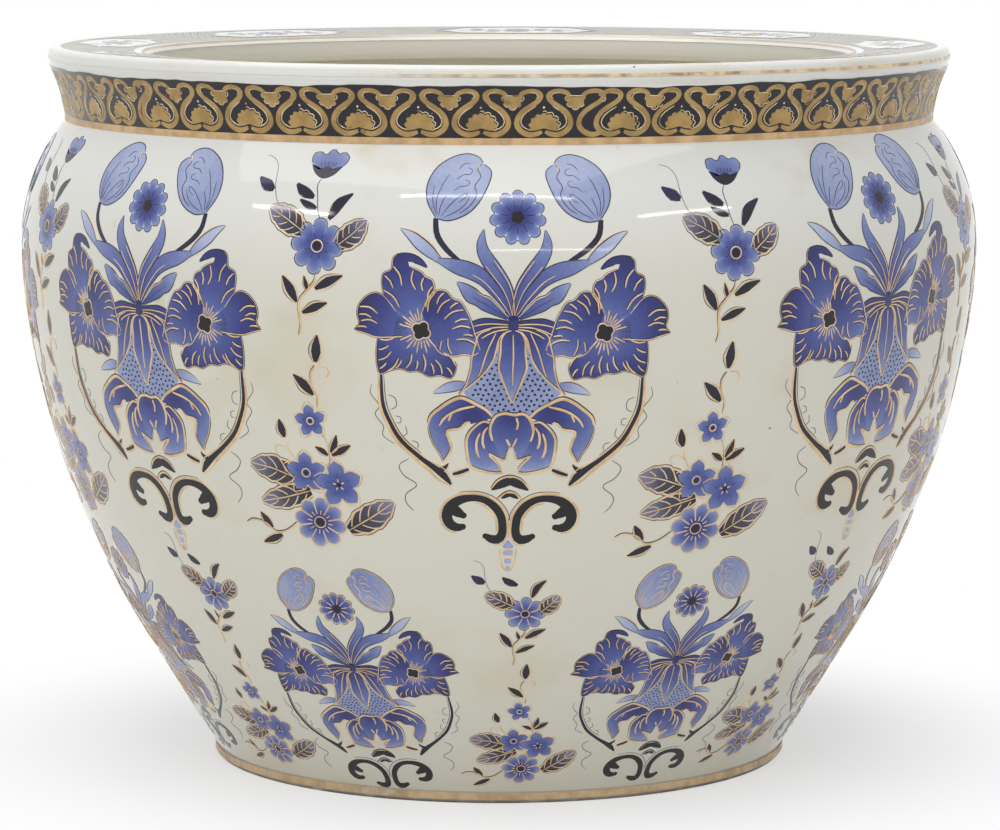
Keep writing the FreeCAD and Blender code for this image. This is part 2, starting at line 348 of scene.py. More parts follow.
def smooth_line(points, count):
    """Smooth line through the points, at equal steps of its length.

    Each span is the cubic that leaves and meets its two points along half the step between their neighbours.
    """
    points = np.asarray(points, float)
    before = np.vstack([2 * points[0] - points[1], points[:-1]])
    after = np.vstack([points[1:], 2 * points[-1] - points[-2]])
    slope = (after - before) / 2
    place = np.linspace(0, len(points) - 1, SPAN_POINTS * (len(points) - 1) + 1)
    span = np.minimum(place.astype(int), len(points) - 2)
    share = (place - span)[:, None]
    fine = (
        (2 * share ** 3 - 3 * share ** 2 + 1) * points[span]
        + (share ** 3 - 2 * share ** 2 + share) * slope[span]
        + (3 * share ** 2 - 2 * share ** 3) * points[span + 1]
        + (share ** 3 - share ** 2) * slope[span + 1]
    )
    steps = np.hypot(np.diff(fine[:, 0]), np.diff(fine[:, 1]))
    length = np.concatenate([[0], np.cumsum(steps)])
    even = np.linspace(0, length[-1], count)
    return np.stack([np.interp(even, length, column) for column in fine.T], 1)


def length_of(points):
    """Length of the line through the points."""
    points = np.asarray(points, float)
    return float(np.hypot(np.diff(points[:, 0]), np.diff(points[:, 1])).sum())


def between(first, second):
    """Place half way between two places."""
    return (first[0] + second[0]) / 2, (first[1] + second[1]) / 2


def spoke(angle):
    """Unit step at an angle from the upright, which grows to the right."""
    return np.stack([np.sin(angle), np.cos(angle)], -1)


def sides_of(line):
    """Unit steps to the left of a line: its heading turned by a quarter."""
    heading = np.gradient(line[:, :2], axis=0)
    heading /= np.maximum(np.hypot(heading[:, 0], heading[:, 1]), SHORTEST_HEADING)[:, None]
    return np.stack([-heading[:, 1], heading[:, 0]], 1)


def ribbon(line, across, half):
    """Grid along a line: at each of its points, steps to both sides by shares of the half width there."""
    return line[:, None, :2] + (across * half[:, None])[..., None] * sides_of(line)[:, None]


def rings(centre, shares, spokes):
    """Grid of rings about a centre, at shares of the spokes that lead from it to the outline."""
    return np.asarray(centre) + shares[:, None, None] * spokes[None]


def lobed(radius, lobes, notch, turn, sharp, count):
    """Angles round a flower and its radius there, which falls by the notch between lobes as a cosine does."""
    angle = np.linspace(0, FULL_TURN, count, endpoint=False)
    lobe = np.abs(np.cos(lobes * (angle - turn) / 2)) ** sharp
    return angle, radius * (1 - notch + notch * lobe)


def saw(along, teeth):
    """Share of a leaf's width that its lobes leave: it falls from the foot of each to its end."""
    return 1 - LOBE_DEPTH * ((along * teeth) % 1.0) ** LOBE_POWER


def film_height(level):
    """Height of a film that lies on as many others as its level says."""
    return FILM_LIFT + FILM_STEP * level


def line_height(kind, level):
    """Height of a line: gilt stands up on the film as a bead, and print is a thin film itself."""
    return film_height(level) + (BEAD_LIFT if kind == "gilt" else FILM_STEP)


def coat_of(kind, grid, height, tone, form):
    """Coat of one height with free edges sunk into the glaze: four if open, two of a band, one of a disc."""
    heights = np.full(grid.shape[:2], height)
    heights[-1] = EDGE_SINK
    if form != "disc":
        heights[0] = EDGE_SINK
    if form == "open":
        heights[:, [0, -1]] = EDGE_SINK
    return Coat(kind, grid, heights, np.broadcast_to(tone, heights.shape), form)


def blade(points, tones, level=1, teeth=0, rows=0, kind="enamel"):
    """Leaf or petal: each point of its spine is (x, y, half width), and the grid runs along and across.

    The tone goes from the first to the last of the two given along the spine. Teeth cut the width by a saw.
    """
    if teeth:
        rows = TOOTH_ROWS * teeth + 1
    rows = rows or int(np.clip(length_of(points) / LEAF_ROW, *LEAF_ROWS))
    line = smooth_line(points, rows)
    along = np.linspace(0, 1, rows)
    half = np.maximum(line[:, 2], LEAST_WIDTH)
    if teeth:
        half = half * saw(along, teeth)
    tone = tones[0] + (tones[1] - tones[0]) * along[:, None]
    return coat_of(kind, ribbon(line, LEAF_ACROSS, half), film_height(level), tone, "open")


def closed_outline(runs, step):
    """Points round a closed outline made of smooth runs that meet in corners."""
    parts = [smooth_line(run, max(3, int(length_of(run) / step)))[:-1] for run in runs]
    return np.vstack(parts)


def patch(centre, runs, tones, level, glow=None, step=1.1, kind="enamel"):
    """Petal or ground of any outline that its centre can see all of: rings shrink from it to the centre.

    The tone goes from the first to the second of the two given with the distance from the glow, or else
    from the centre.
    """
    grid = rings(centre, PETAL_RINGS, closed_outline(runs, step) - np.asarray(centre))
    away = np.linalg.norm(grid - np.asarray(centre if glow is None else glow), axis=-1)
    tone = tones[0] + (tones[1] - tones[0]) * away / away.max()
    return coat_of(kind, grid, film_height(level), tone, "disc")


def disc(centre, radius, lobes, notch, tones, level, turn=0.0, count=0, sharp=1.0):
    """Round flower with its lobes, or round patch, whose tone goes from its middle to its edge."""
    count = count or max(FLOWER_POINTS, FLOWER_LOBE_POINTS * lobes)
    angle, reach = lobed(radius, lobes, notch, turn, sharp, count)
    grid = rings(centre, FLOWER_RINGS, reach[:, None] * spoke(angle))
    tone = (tones[0] + (tones[1] - tones[0]) * FLOWER_RINGS)[:, None]
    return coat_of("enamel", grid, film_height(level), tone, "disc")


def dot(centre, radius, tone, level, kind="enamel"):
    """Round dot of six sides, with few faces because there are many of them."""
    angle = np.linspace(0, FULL_TURN, DOT_SIDES, endpoint=False)
    return coat_of(kind, rings(centre, DOT_RINGS, spoke(angle) * radius), film_height(level), tone, "disc")


def stroke(points, width, kind, level, tone=0.5, taper=0.6, step=1.3):
    """Raised line of the brush or pen: full in the middle and thinner by the taper towards both ends."""
    rows = int(np.clip(length_of(points) / step, *LINE_ROWS))
    line = smooth_line(points, rows)
    half = width / 2 * (1 - taper * np.linspace(-1, 1, rows) ** TAPER_POWER)
    return coat_of(kind, ribbon(line, LINE_ACROSS, half), line_height(kind, level), tone, "open")


def ring_line(centre, radius, lobes, notch, width, kind="gilt", turn=0.0, sharp=1.0, level=3, tone=0.5):
    """Raised line round a lobed disc, closed on itself."""
    count = max(RING_POINTS, RING_LOBE_POINTS * lobes)
    angle, reach = lobed(radius, lobes, notch, turn, sharp, count)
    reach = reach[None] + LINE_ACROSS[:, None] * width / 2
    grid = np.asarray(centre) + reach[..., None] * spoke(angle)
    return coat_of(kind, grid, line_height(kind, level), tone, "band")


def gilded(points, width, level=3, taper=0.5):
    """Gilt line over the printed line that it was meant to cover, which shows along its upper side."""
    shifted = [(point[0] + PRINT_SHIFT[0], point[1] + PRINT_SHIFT[1]) for point in points]
    return [
        stroke(shifted, width * PRINT_WIDTH, "ink", level - 1, PRINT_TONE, taper),
        stroke(points, width, "gilt", level, taper=taper),
    ]


def outlined(runs, width, kind, tone=0.5, level=3):
    """One line along each run of an outline."""
    return [stroke(run, width, kind, level, tone, OUTLINE_TAPER) for run in runs]


def edge_lines(points, width, kind, tone=0.5, sides=(-1, 1), inset=1.0, level=3):
    """Lines along the sides of a blade, at a share of its half width from the spine."""
    line = smooth_line(points, max(6, int(length_of(points) / EDGE_STEP)))
    step = sides_of(line) * (line[:, 2:] * inset)
    return [stroke(line[:, :2] + side * step, width, kind, level, tone, EDGE_TAPER) for side in sides]


def comb(edge, centre, count, length, width, bend, spread):
    """Short gilt lines from an edge towards a centre, bent to one side, longer and shorter in turn.

    Beside each of them shows the printed line that it was meant to cover.
    """
    line = smooth_line(edge, COMB_POINTS)
    last = COMB_POINTS - 1
    picks = np.linspace(spread[0] * last, spread[1] * last, count).astype(int)
    lines = []
    for index, start in enumerate(line[picks]):
        way = np.asarray(centre) - start
        far = np.hypot(*way)
        way = way / far
        side = np.array([-way[1], way[0]])
        reach = min(length * COMB_LENGTHS[index % len(COMB_LENGTHS)], far * COMB_END)
        middle = start + way * reach * 0.5 + side * reach * bend
        points = [start, middle, start + way * reach]
        printed = [point + side * width * COMB_PRINT_ASIDE for point in points]
        lines.append(stroke(points, width, "gilt", 3, taper=COMB_TAPER))
        lines.append(stroke(printed, width * COMB_PRINT_WIDTH, "ink", 2, COMB_PRINT_TONE, COMB_TAPER))
    return lines


def rays(centre, inner, outer, count, width, kind="gilt", turn=0.0, tone=0.5, sweep=FULL_TURN):
    """Straight short lines that leave a centre like spokes, long and short in turn."""
    centre = np.asarray(centre)
    lines = []
    for index in range(count):
        way = spoke(turn + sweep * index / count)
        reach = outer if index % 2 == 0 else inner + (outer - inner) * SHORT_RAY
        points = [centre + way * inner, centre + way * (inner + reach) / 2, centre + way * reach]
        lines.append(stroke(points, width, kind, 3, tone, RAY_TAPER))
    return lines


def mirrored(coats):
    """The same coats on the other side of the upright axis, their columns turned round to face outward."""
    flip = np.array([-1, 1])
    return [
        Coat(coat.kind, coat.grid[:, ::-1] * flip, coat.height[:, ::-1], coat.tone[:, ::-1], coat.form)
        for coat in coats
    ]


def moved(coats, place):
    """The same coats at another place."""
    return [coat._replace(grid=coat.grid + np.asarray(place)) for coat in coats]


# Drawings: places in millimetres about the middle of each motif, x to the right and y up.
def bud(line_kind, out):
    """Half opened bud: a side lobe behind a wavy parting, veins and hooked lines, and a dark stalk.

    Its head stands further out than the drawing by the given distance, and the stalk bends to follow it.
    """
    gold = line_kind == "gilt"
    wider = 1.35 if gold else 1.0
    tones = (SOFT + 0.02, PALE - 0.02) if gold else (PALE, 0.74)
    base = (-29.5, 39)
    outer = [base, (-33, 46), (-32.8, 53.4), (-28.8, 60.6), (-22.9, 65), (-17.5, 66.6), (-13, 65.2),
             (-11.2, 62.2)]
    lobe = [(-11.2, 62.2), (-8.3, 59.2), (-8.8, 54.6), (-12.6, 46.4), (-17.3, 41.3), (-24, 38.4), base]
    parting = [(-11.2, 62.4), (-13.6, 59.8), (-12.2, 56.5), (-14.6, 52.5), (-13.8, 48.8), (-16.8, 44),
               (-21, 41)]
    stalk = [(-29.7 - out, 40, 1.0), (-29.2 - 0.9 * out, 33, 1.2), (-26.2 - 0.5 * out, 27.7, 1.15),
             (-22.5, 23.9, 0.9), (-19.6, 22.2, 0.5)]
    coats = [patch((-21, 52), [outer, lobe], tones, 1, (-16, 60))]
    coats += outlined([outer, lobe], 0.55 * wider, line_kind, 0.2)
    if gold:
        coats += outlined([outer, lobe], 1.5, "ink", 0.3, 2)
    coats.append(stroke(parting, 0.5 * wider, line_kind, 3, 0.2, 0.4))
    coats.append(stroke([(-12, 63.4), (-13.2, 61), (-12.4, 58.8)], 0.6, "gilt", 4))
    veins = (
        [(-29.3, 40), (-30.8, 46), (-30.2, 53)],
        [(-29, 40), (-29.4, 46), (-27.2, 52.4), (-24, 57.8)],
        [(-28.6, 39.8), (-27.8, 44), (-25.6, 48.6)],
        [(-28, 39.6), (-24.6, 44), (-20.8, 47.8), (-17.6, 49.6), (-18.2, 47.6), (-21.4, 45.4)],
        [(-27, 39.4), (-21.4, 42.2), (-17.8, 45.6), (-16.4, 49.2)],
        [(-22.8, 50), (-20.6, 52), (-17.4, 52.6), (-16.6, 54.4), (-19, 55.2)],
        [(-21.8, 54.8), (-19, 57.2), (-16.2, 57.4), (-15.6, 59.6), (-18, 60.4)],
        [(-21, 59), (-18.6, 61.8), (-15.6, 62.2)],
    )
    coats += [stroke(vein, 0.4 * wider, line_kind, 3, 0.3, 0.7, 0.9) for vein in veins]
    return moved(coats, (-out, 0.0)) + [blade(stalk, (NAVY - 0.04, NAVY))]


def lily_leaves():
    """Leaves that rise from the middle of the bouquet: a long folded one, an upright one and a low one."""
    tip = [(-44.5, 35, 0.1), (-40.5, 32.7, 1.5), (-36.8, 29.5, 2.3), (-32.7, 26.2, 2.1), (-28, 22.2, 0.9)]
    long = [(-30.6, 23.4, 0.5), (-22.5, 20.9, 2.7), (-16.1, 18.9, 3.1), (-11.3, 16.1, 2.8),
            (-7.9, 12.4, 2.3), (-4.3, 7.7, 1.6), (-0.6, 1.5, 0.6)]
    upright = [(-11.7, 35.6, 0.1), (-12.6, 31, 1.5), (-12.2, 27.2, 2.2), (-9.9, 23, 2.7), (-6.4, 18.2, 2.7),
               (-3, 13.2, 2.2), (-0.9, 7.2, 1.4), (0, 1.5, 0.5)]
    low = [(-22.3, 15, 0.1), (-19.3, 12.7, 1.8), (-16.4, 9.9, 3.0), (-13.4, 8, 2.4), (-10.8, 6.7, 2.9),
           (-6.3, 3.7, 1.8), (-1.6, 0.6, 0.5)]
    knot = [(-3.6, 6.4), (0, 8), (3.6, 6.4), (2.4, 1), (0, -1.6), (-2.4, 1), (-3.6, 6.4)]
    coats = [
        blade(tip, (WASH, SOFT + 0.08), 1),
        blade(long, (SOFT + 0.06, MIDDLE - 0.14), 2),
        blade(low, (PALE - 0.06, MIDDLE - 0.14), 1),
        blade(upright, (SOFT + 0.06, MIDDLE - 0.12), 3),
        patch((0, 1.6), [knot], (COBALT, MIDDLE - 0.1), 1),
    ]
    for leaf in (tip, long, upright, low):
        coats += edge_lines(leaf, 0.5, "ink", 0.2, level=3)
    coats += edge_lines(tip, 0.5, "gilt", sides=(1,), inset=1.2, level=1)
    coats += edge_lines(long[2:], 0.5, "gilt", sides=(-1,), inset=0.35)
    coats += edge_lines(upright[3:], 0.55, "gilt", sides=(1, -1), inset=0.7)
    coats += edge_lines(upright[3:], 0.36, "ink", 0.3, sides=(1,), inset=0.35)
    coats += edge_lines(low[2:], 0.55, "gilt", sides=(1,), inset=0.9)
    coats += edge_lines(low[2:], 0.36, "ink", 0.3, sides=(-1,), inset=0.1)
    return coats


def daisy(centre, radius, line_kind):
    """Small round flower of eleven petals about a dark middle, each inside a loop where lines are gilt."""
    petals = 11
    centre = np.asarray(centre)
    gold = line_kind == "gilt"
    notch = 0.27
    tones = (NAVY - 0.02, SOFT if gold else PALE - 0.06)
    coats = [
        disc(centre, radius, petals, notch, tones, 1, sharp=0.5, count=12 * petals),
        disc(centre, radius * 0.25, 5, 0.25, (0.0, 0.0), 4, 0.4),
        ring_line(centre, radius, petals, notch, 0.45, "ink", sharp=0.5, level=2, tone=0.25),
    ]
    for index in range(petals):
        way = spoke(FULL_TURN * (index + 0.5) / petals)
        places = [centre + way * radius * share for share in (0.2, 0.46, 0.74)]
        coats.append(stroke(places, 0.8 if gold else 0.5, line_kind, 3, 0.1, 0.3))
    if gold:
        coats.append(ring_line(centre, radius * 0.95, petals, notch, 0.75, "gilt", sharp=0.5, level=3))
    return coats


def peony():
    """Large open flower seen from in front: a hooked top petal, two side petals, a skirt and a dark heart."""
    heart = (-35.6, -4.5)
    top = [(-44.6, 2.7), (-50.4, 8.6), (-51.3, 13.6), (-50.7, 17.4), (-47.6, 18.9), (-46.9, 23.4),
           (-44.6, 25.3)]
    notch = [(-44.6, 25.3), (-41.6, 23.6), (-40.5, 20.4)]
    hook = [(-45.8, 22.4, 2.2), (-43, 23.6, 1.7), (-39, 23.4, 1.5), (-35.8, 21.9, 0.9), (-33.2, 19.8, 0.1)]
    brow = [(-40.5, 20.4), (-35.9, 18.4), (-34.2, 16.5), (-31.6, 15.4), (-30.6, 12), (-32.3, 9), (-34.6, 5)]
    foot = [(-34.6, 5), (-37.5, -1), (-44.6, 2.7)]
    wing = [(-45.3, 2.3), (-48, 5.9), (-50.6, 8.7), (-53.7, 9.8), (-57, 8.6), (-60.4, 4.9), (-61, 0.9),
            (-60.2, -2.4), (-62.4, -5)]
    wing_back = [(-62.4, -5), (-57.8, -6.2), (-52.7, -7.6), (-42, -7)]
    skirt = [(-52.7, -7.4), (-53.2, -12), (-52.9, -18.3), (-51.6, -22.1), (-47.8, -20.7), (-43.5, -19.8),
             (-40, -20.9), (-36.5, -20.6), (-32.2, -22.6), (-28.3, -22), (-23.9, -23.1), (-22, -20.2),
             (-21.6, -16.8)]
    skirt_back = [(-21.6, -16.8), (-28.9, -9.5), (-36, -3.5), (-45, -3), (-52.7, -7.4)]
    side = [(-35.4, 2.6), (-33.6, 7.4), (-31.4, 10.2), (-28.7, 11.6), (-25.8, 11), (-23.5, 8.4),
            (-20.6, 7.4), (-18.6, 4.6), (-16.6, 0.6), (-15, -4.4), (-12.4, -12.2)]
    side_back = [(-12.4, -12.2), (-15.7, -13.9), (-19, -13.4), (-22.9, -14.3), (-28.1, -13), (-32, -8)]
    wing_foot = [(-42, -7), (-40, -2), (-45.3, 2.3)]
    side_foot = [(-32, -8), (-34, -2), (-35.4, 2.6)]
    bright = SOFT
    deep = COBALT - 0.1
    coats = [
        disc((-39.5, -2), 10.5, 1, 0.0, (bright, MIDDLE), 0, count=20),
        patch((-41, 10), [top, notch, brow, foot], (bright, deep), 1, heart),
        blade(hook, (deep, COBALT + 0.02), 2),
        patch((-53.5, 0), [wing, wing_back, wing_foot], (bright, deep - 0.03), 1, heart),
        patch((-38, -14.5), [skirt, skirt_back], (bright, deep), 1, heart),
        patch((-24.5, -3), [side, side_back, side_foot], (deep, bright), 2, (-33, 6)),
        disc(heart, 3.6, 4, 0.3, (0.0, 0.0), 3, 0.5),
    ]
    coats += outlined([top[1:], brow, wing[1:], wing_back, skirt, side, side_back], 0.9, "ink", 0.1, 2)
    coats += edge_lines(hook, 0.7, "ink", 0.1, (1,), level=2)
    coats += edge_lines(hook[2:], 0.7, "ink", 0.1, (-1,), level=2)
    coats += outlined([brow, wing_back, side, side_back], 0.6, "gilt")
    coats += outlined([top[1:], wing, skirt], 0.42, "gilt", level=1)
    for edge, count, length, bend, spread in (
        (top, 3, 10.5, 0.12, (0.4, 0.8)),
        (brow, 4, 9.0, -0.16, (0.1, 0.8)),
        (wing, 4, 9.0, 0.16, (0.68, 0.98)),
        (skirt, 13, 8.5, -0.14, (0.03, 0.97)),
        (side, 9, 10.0, -0.14, (0.26, 0.96)),
    ):
        coats += comb(edge, heart, count, length, 0.78, bend, spread)
    coats += comb(side_back, (-26, -2), 2, 8.5, 0.7, 0.12, (0.5, 0.72))
    for count, turn, sweep in ((9, 2.4, 2.1), (8, 4.98, 1.5)):
        coats += rays(heart, 3.2, 9.8, count, 0.66, turn=turn, sweep=sweep)
    # Dots beside the heart: multiples that do not repeat spread them over the angle and the distance.
    number = np.arange(60)
    angle = 4.3 + 0.9 * ((0.755 * number) % 1.0)
    far = 4.6 + 6.0 * np.sqrt((0.57 * number + 0.1) % 1.0)
    coats += [dot(place, 0.28, 0.0, 3) for place in heart + far[:, None] * spoke(angle)]
    coats.append(ring_line(heart, 3.9, 4, 0.3, 0.7, turn=0.5, level=4))
    return coats


def bell_side():
    """One side of the bell under the leaves: two narrow petals, the bow above and the pale leaf outside."""
    bow_top = [(0.0, -0.4), (-6, 0.5), (-11.5, 0.9), (-16.6, -0.6)]
    bow_end = [(-16.6, -0.6), (-17.4, -4), (-16.2, -7.4)]
    bow_under = [(-16.2, -7.4), (-10.4, -5), (-5, -3.6), (0.0, -3.4)]
    inner = [(-2.6, -3.6), (-5.3, -7), (-6.5, -11.6), (-7.4, -15), (-9.5, -18.8), (-12, -22),
             (-15.3, -25.1), (-18.2, -27.5), (-20.7, -29.8)]
    parting = [(-6.4, -4.2), (-9.3, -10.5), (-11, -15.5), (-12.1, -19.3), (-13.4, -22.8)]
    outer = [(-20.7, -29.8), (-18.2, -26.3), (-17.1, -23.2), (-16.1, -18.6), (-15.8, -14.8), (-14.4, -9),
             (-13.2, -5.4), (-8, -3)]
    petal_top = [(-8, -3), (-2.6, -3.6)]
    bow_knot = [(0.0, -3.4), (0.0, -2), (0.0, -0.4)]
    leaf = [(-17.4, -25.4, 0.9), (-21.5, -26, 2.0), (-26, -27.2, 1.7), (-31, -29.4, 0.1)]
    coats = [
        blade(leaf, (SOFT, WASH), 1),
        patch((-11.6, -15), [inner, outer, petal_top], (COBALT - 0.08, PALE - 0.04), 2, (-7, -2)),
        patch((-9, -2), [bow_top, bow_end, bow_under, bow_knot], (COBALT - 0.1, COBALT + 0.04), 3, (0, -2)),
    ]
    coats += outlined([bow_top], 0.6, "ink", 0.1, 4)
    for line, width in ((inner, 0.95), (parting, 0.85), (outer, 0.8)):
        coats += gilded(line, width, 4)
    for line in (
        [(-1, -1.6), (-7, -1.2), (-12, -1.5), (-16.4, -2.6)],
        [(-1, -2.4), (-7, -2.6), (-11.6, -3.8), (-16, -5.8)],
        [(-1, -3.2), (-5.6, -3.8), (-9.8, -5.4), (-12.6, -7.4)],
    ):
        coats += gilded(line, 0.7, 5)
    coats += edge_lines(leaf, 0.45, "ink", 0.25, level=2)
    coats += edge_lines(leaf, 0.5, "gilt", sides=(-1,), inset=1.15, level=1)
    return coats


def bell():
    """Bell of the bouquet: a pointed front petal on a pale ground with dark dots, between its side petals."""
    side = [(-5, -8), (-7.4, -15), (-12, -22), (-18.8, -28.2), (-14.4, -32.4), (-9.8, -35.6), (-7, -38.6)]
    hem = [(-7, -38.6), (-2.5, -36.7), (2.5, -36.7), (7, -38.6)]
    other = [(-x, y) for x, y in side[::-1]]
    front_left = [(0, -3.6), (-2.8, -4.4), (-4.6, -7.4), (-4.8, -12.4), (-5.4, -18.2), (-4.4, -21.8),
                  (-2.6, -26.6), (0, -33.2)]
    front_right = [(-x, y) for x, y in front_left[::-1]]
    collar = [(5, -8), (0, -7), (-5, -8)]
    coats = [patch((0, -24), [side, hem, other, collar], (SOFT + 0.04, SOFT + 0.1), 1)]
    # Dots in rows that shift by half a step, kept where the ground is as wide as they stand out.
    rows, columns = np.mgrid[0:12, -8:9]
    x = 2.2 * columns + 1.1 * (rows % 2) + 0.3 * np.sin(5.0 * rows + columns)
    y = -13 - 2.05 * rows + 0.3 * np.cos(3.0 * columns)
    limit = np.interp(-y, [12, 18, 24, 29, 32, 36, 38], [6.2, 8.6, 13, 17.4, 13.6, 8.4, 6])
    keep = np.abs(x) < limit
    coats += [dot(place, 0.74, BLACK, 2) for place in zip(x[keep], y[keep])]
    half = bell_side()
    coats += half + mirrored(half)
    coats.append(disc((0, -1.9), 2.2, 1, 0.0, (NAVY + 0.1, COBALT - 0.06), 4, count=16))
    coats.append(patch((0, -16), [front_left, front_right], (COBALT - 0.04, PALE - 0.04), 4, (0, -4)))
    coats += gilded(front_left, 1.1, 6) + gilded(front_right, 1.1, 6)
    coats += gilded([(-0.1, -4.4), (0.2, -14), (0, -22), (0.3, -26.4)], 0.85, 6)
    return coats


def iris_side():
    """One side of the iris: the arched fall with its pale end and the hanging petal beside the middle."""
    arch = [(-7, -38.7), (-9.8, -35.6), (-14.4, -32.9), (-19.3, -30.8), (-23.1, -31.9), (-27.2, -34.7),
            (-31.3, -38.4), (-32.4, -42.1)]
    arch_end = [(-32.4, -42.1), (-31.6, -46.4), (-29.7, -50.7), (-27.5, -54.1), (-26.1, -57.5)]
    window = [(-26.1, -57.5), (-23.2, -52), (-24, -48), (-25, -44.3)]
    ledge = [(-25, -44.3), (-20.2, -43.4), (-18.4, -41.6), (-17, -40.4), (-15.4, -41.4)]
    cut = [(-32.4, -42.1), (-28.8, -43.8), (-25, -44.3)]
    under = [(-25, -44.3), (-25.4, -42), (-28.6, -41), (-31.4, -40.4), (-32.4, -42.1)]
    web = [(-15.4, -41.4), (-11.1, -40.1), (-7, -38.7)]
    hang = [(-8, -41), (-11.1, -40.3), (-15.1, -43.5), (-17.1, -46.9), (-17.3, -50.4), (-16.7, -54.8),
            (-15.4, -58.9), (-10.2, -60.9), (-5.6, -61.6), (-2.2, -61.2)]
    hang_back = [(-2.2, -61.2), (-1.4, -52), (-3, -44), (-8, -41)]
    coats = [
        patch((-23, -38.6), [arch, cut, ledge, web], (COBALT - 0.08, SOFT - 0.04), 1, (-15, -37)),
        patch((-28, -47.5), [arch_end, window, under], (COBALT - 0.08, SOFT + 0.09), 0, (-15, -37)),
        patch((-9.6, -51), [hang, hang_back], (COBALT - 0.08, PALE - 0.02), 1, (-9, -41)),
    ]
    coats += gilded(arch, 1.75, 4, 0.4) + gilded(window + ledge[1:], 1.25, 4) + gilded(hang, 1.35, 4, 0.3)
    coats += outlined([arch_end], 1.1, "ink", 0.15, 2) + outlined([arch_end], 0.6, "gilt")
    for points, width in (
        ([(-13.6, -33.9), (-19.9, -35.4), (-23.9, -37.4), (-26.7, -39.9), (-28.2, -43)], 1.4),
        ([(-22.8, -37.2), (-24, -38.8), (-24.5, -41)], 1.2),
        ([(-8.8, -42.1), (-10.7, -44.8), (-11.1, -48.7), (-10, -52)], 1.25),
        ([(-11.9, -44.4), (-13.4, -48.3), (-13.3, -52.2), (-12, -55.8)], 1.25),
    ):
        coats += gilded(points, width, 4, 0.6)
    bar = [(-23, -62.6, 0.5), (-19.3, -61.5, 0.75), (-15.7, -59.9, 0.6)]
    coats.append(blade(bar, (BLACK, BLACK), 1))
    coats += edge_lines(bar, 0.6, "gilt", inset=1.6, level=1)
    return coats


def iris():
    """Iris under the bell: two sides, a round middle of two lobes and the pale fork that parts it below."""
    dome = [(-7, -48.7), (-8.3, -43.8), (-7.4, -39.9), (-5.7, -37.7), (-2.5, -36.8), (1, -37.4), (4.8, -37),
            (7.4, -39.7), (8.5, -43.8), (7.4, -48.9)]
    below = [(7.4, -48.9), (4, -55), (0, -57), (-4, -55), (-7, -48.7)]
    branch = [(-3.5, -61.4), (-4, -59.2), (-5.6, -56.9), (-8.8, -53.4), (-5.2, -55.2), (-2.4, -56.2),
              (-1.5, -53.8), (-1.1, -51.6)]
    fork = [(-1.1, -51.6), (0.1, -50.8), (1.3, -51.6)]
    other = [(1.3, -51.6), (1.6, -53.8), (2.4, -56), (5, -55.4), (7.8, -54.4), (4.9, -57.2), (3.3, -59.4),
             (2.9, -61.4)]
    fork_foot = [(2.9, -61.4), (-0.3, -62), (-3.5, -61.4)]
    prongs = ([(0, -51.4), (-0.9, -49.2), (-2.4, -46.5)], [(0.1, -51.4), (1.3, -49), (2.4, -46.1)])
    half = iris_side()
    coats = half + mirrored(half)
    coats.append(patch((0, -45.6), [dome, below], (COBALT - 0.08, SOFT + 0.04), 2, (0, -37)))
    coats.append(patch((-0.2, -58.2), [branch, fork, other, fork_foot], (1.0, 1.0), 3))
    coats += gilded(dome, 1.6, 5, 0.5)
    coats += gilded([(1.4, -37.6), (2.5, -41), (1.8, -44.2)], 1.2, 5)
    for points in (branch, fork, other, *prongs):
        coats += gilded(points, 1.15, 5, 0.3)
    return coats


def side_stem():
    """Dark stem that hangs from the large flower and hooks in under the iris, with its thorn and tendrils."""
    stem = [(-51.2, -21.5, 0.5), (-50.4, -33.8, 0.75), (-47.4, -41.7, 0.8), (-43, -48.9, 0.85),
            (-35.3, -55.8, 0.9), (-30.4, -59.4, 1.2), (-26, -63, 1.5), (-22.4, -67.6, 0.15)]
    thorn = [(-24, -57.6, 0.1), (-25.4, -59.6, 0.8), (-27.4, -61, 1.2)]
    coats = [blade(stem, (NAVY, BLACK), 1), blade(thorn, (BLACK, BLACK), 1)]
    coats += edge_lines(stem, 1.5, "gilt", sides=(-1,), inset=1.75, level=1)
    coats += edge_lines(stem[1:], 0.7, "gilt", sides=(1,), inset=1.4, level=1)
    coats += edge_lines(stem[:5], 0.4, "ink", 0.1, sides=(1,), inset=1.9, level=0)
    coats += edge_lines(thorn, 0.5, "gilt", inset=1.2, level=1)
    curl = [(-39.4, -56.2), (-43.6, -59.4), (-41.4, -63.8), (-36.4, -67.4), (-40.6, -71.4), (-40.5, -75.2),
            (-37.2, -79)]
    coats.append(stroke(curl, 0.42, "ink", 1, 0.55, 0.5))
    hooks = (
        [(-54.8, -26), (-55.4, -30), (-51.8, -35), (-53.4, -38.6), (-50, -43.4), (-50.2, -47.2),
         (-45, -50.8)],
        [(-48.6, -30.4), (-45.6, -31.6), (-45, -35), (-47.6, -36.6)],
        [(-45.6, -39), (-43.4, -39.4), (-43.2, -41.6), (-45.2, -41.8)],
        [(-41.4, -42.6), (-40.6, -46), (-42.6, -47.4)],
        [(-39, -48.8), (-36.2, -49.8), (-36.4, -52.6)],
    )
    coats += [stroke(hook, 0.36, "ink", 1, 0.55, 0.5, 0.9) for hook in hooks]
    return coats


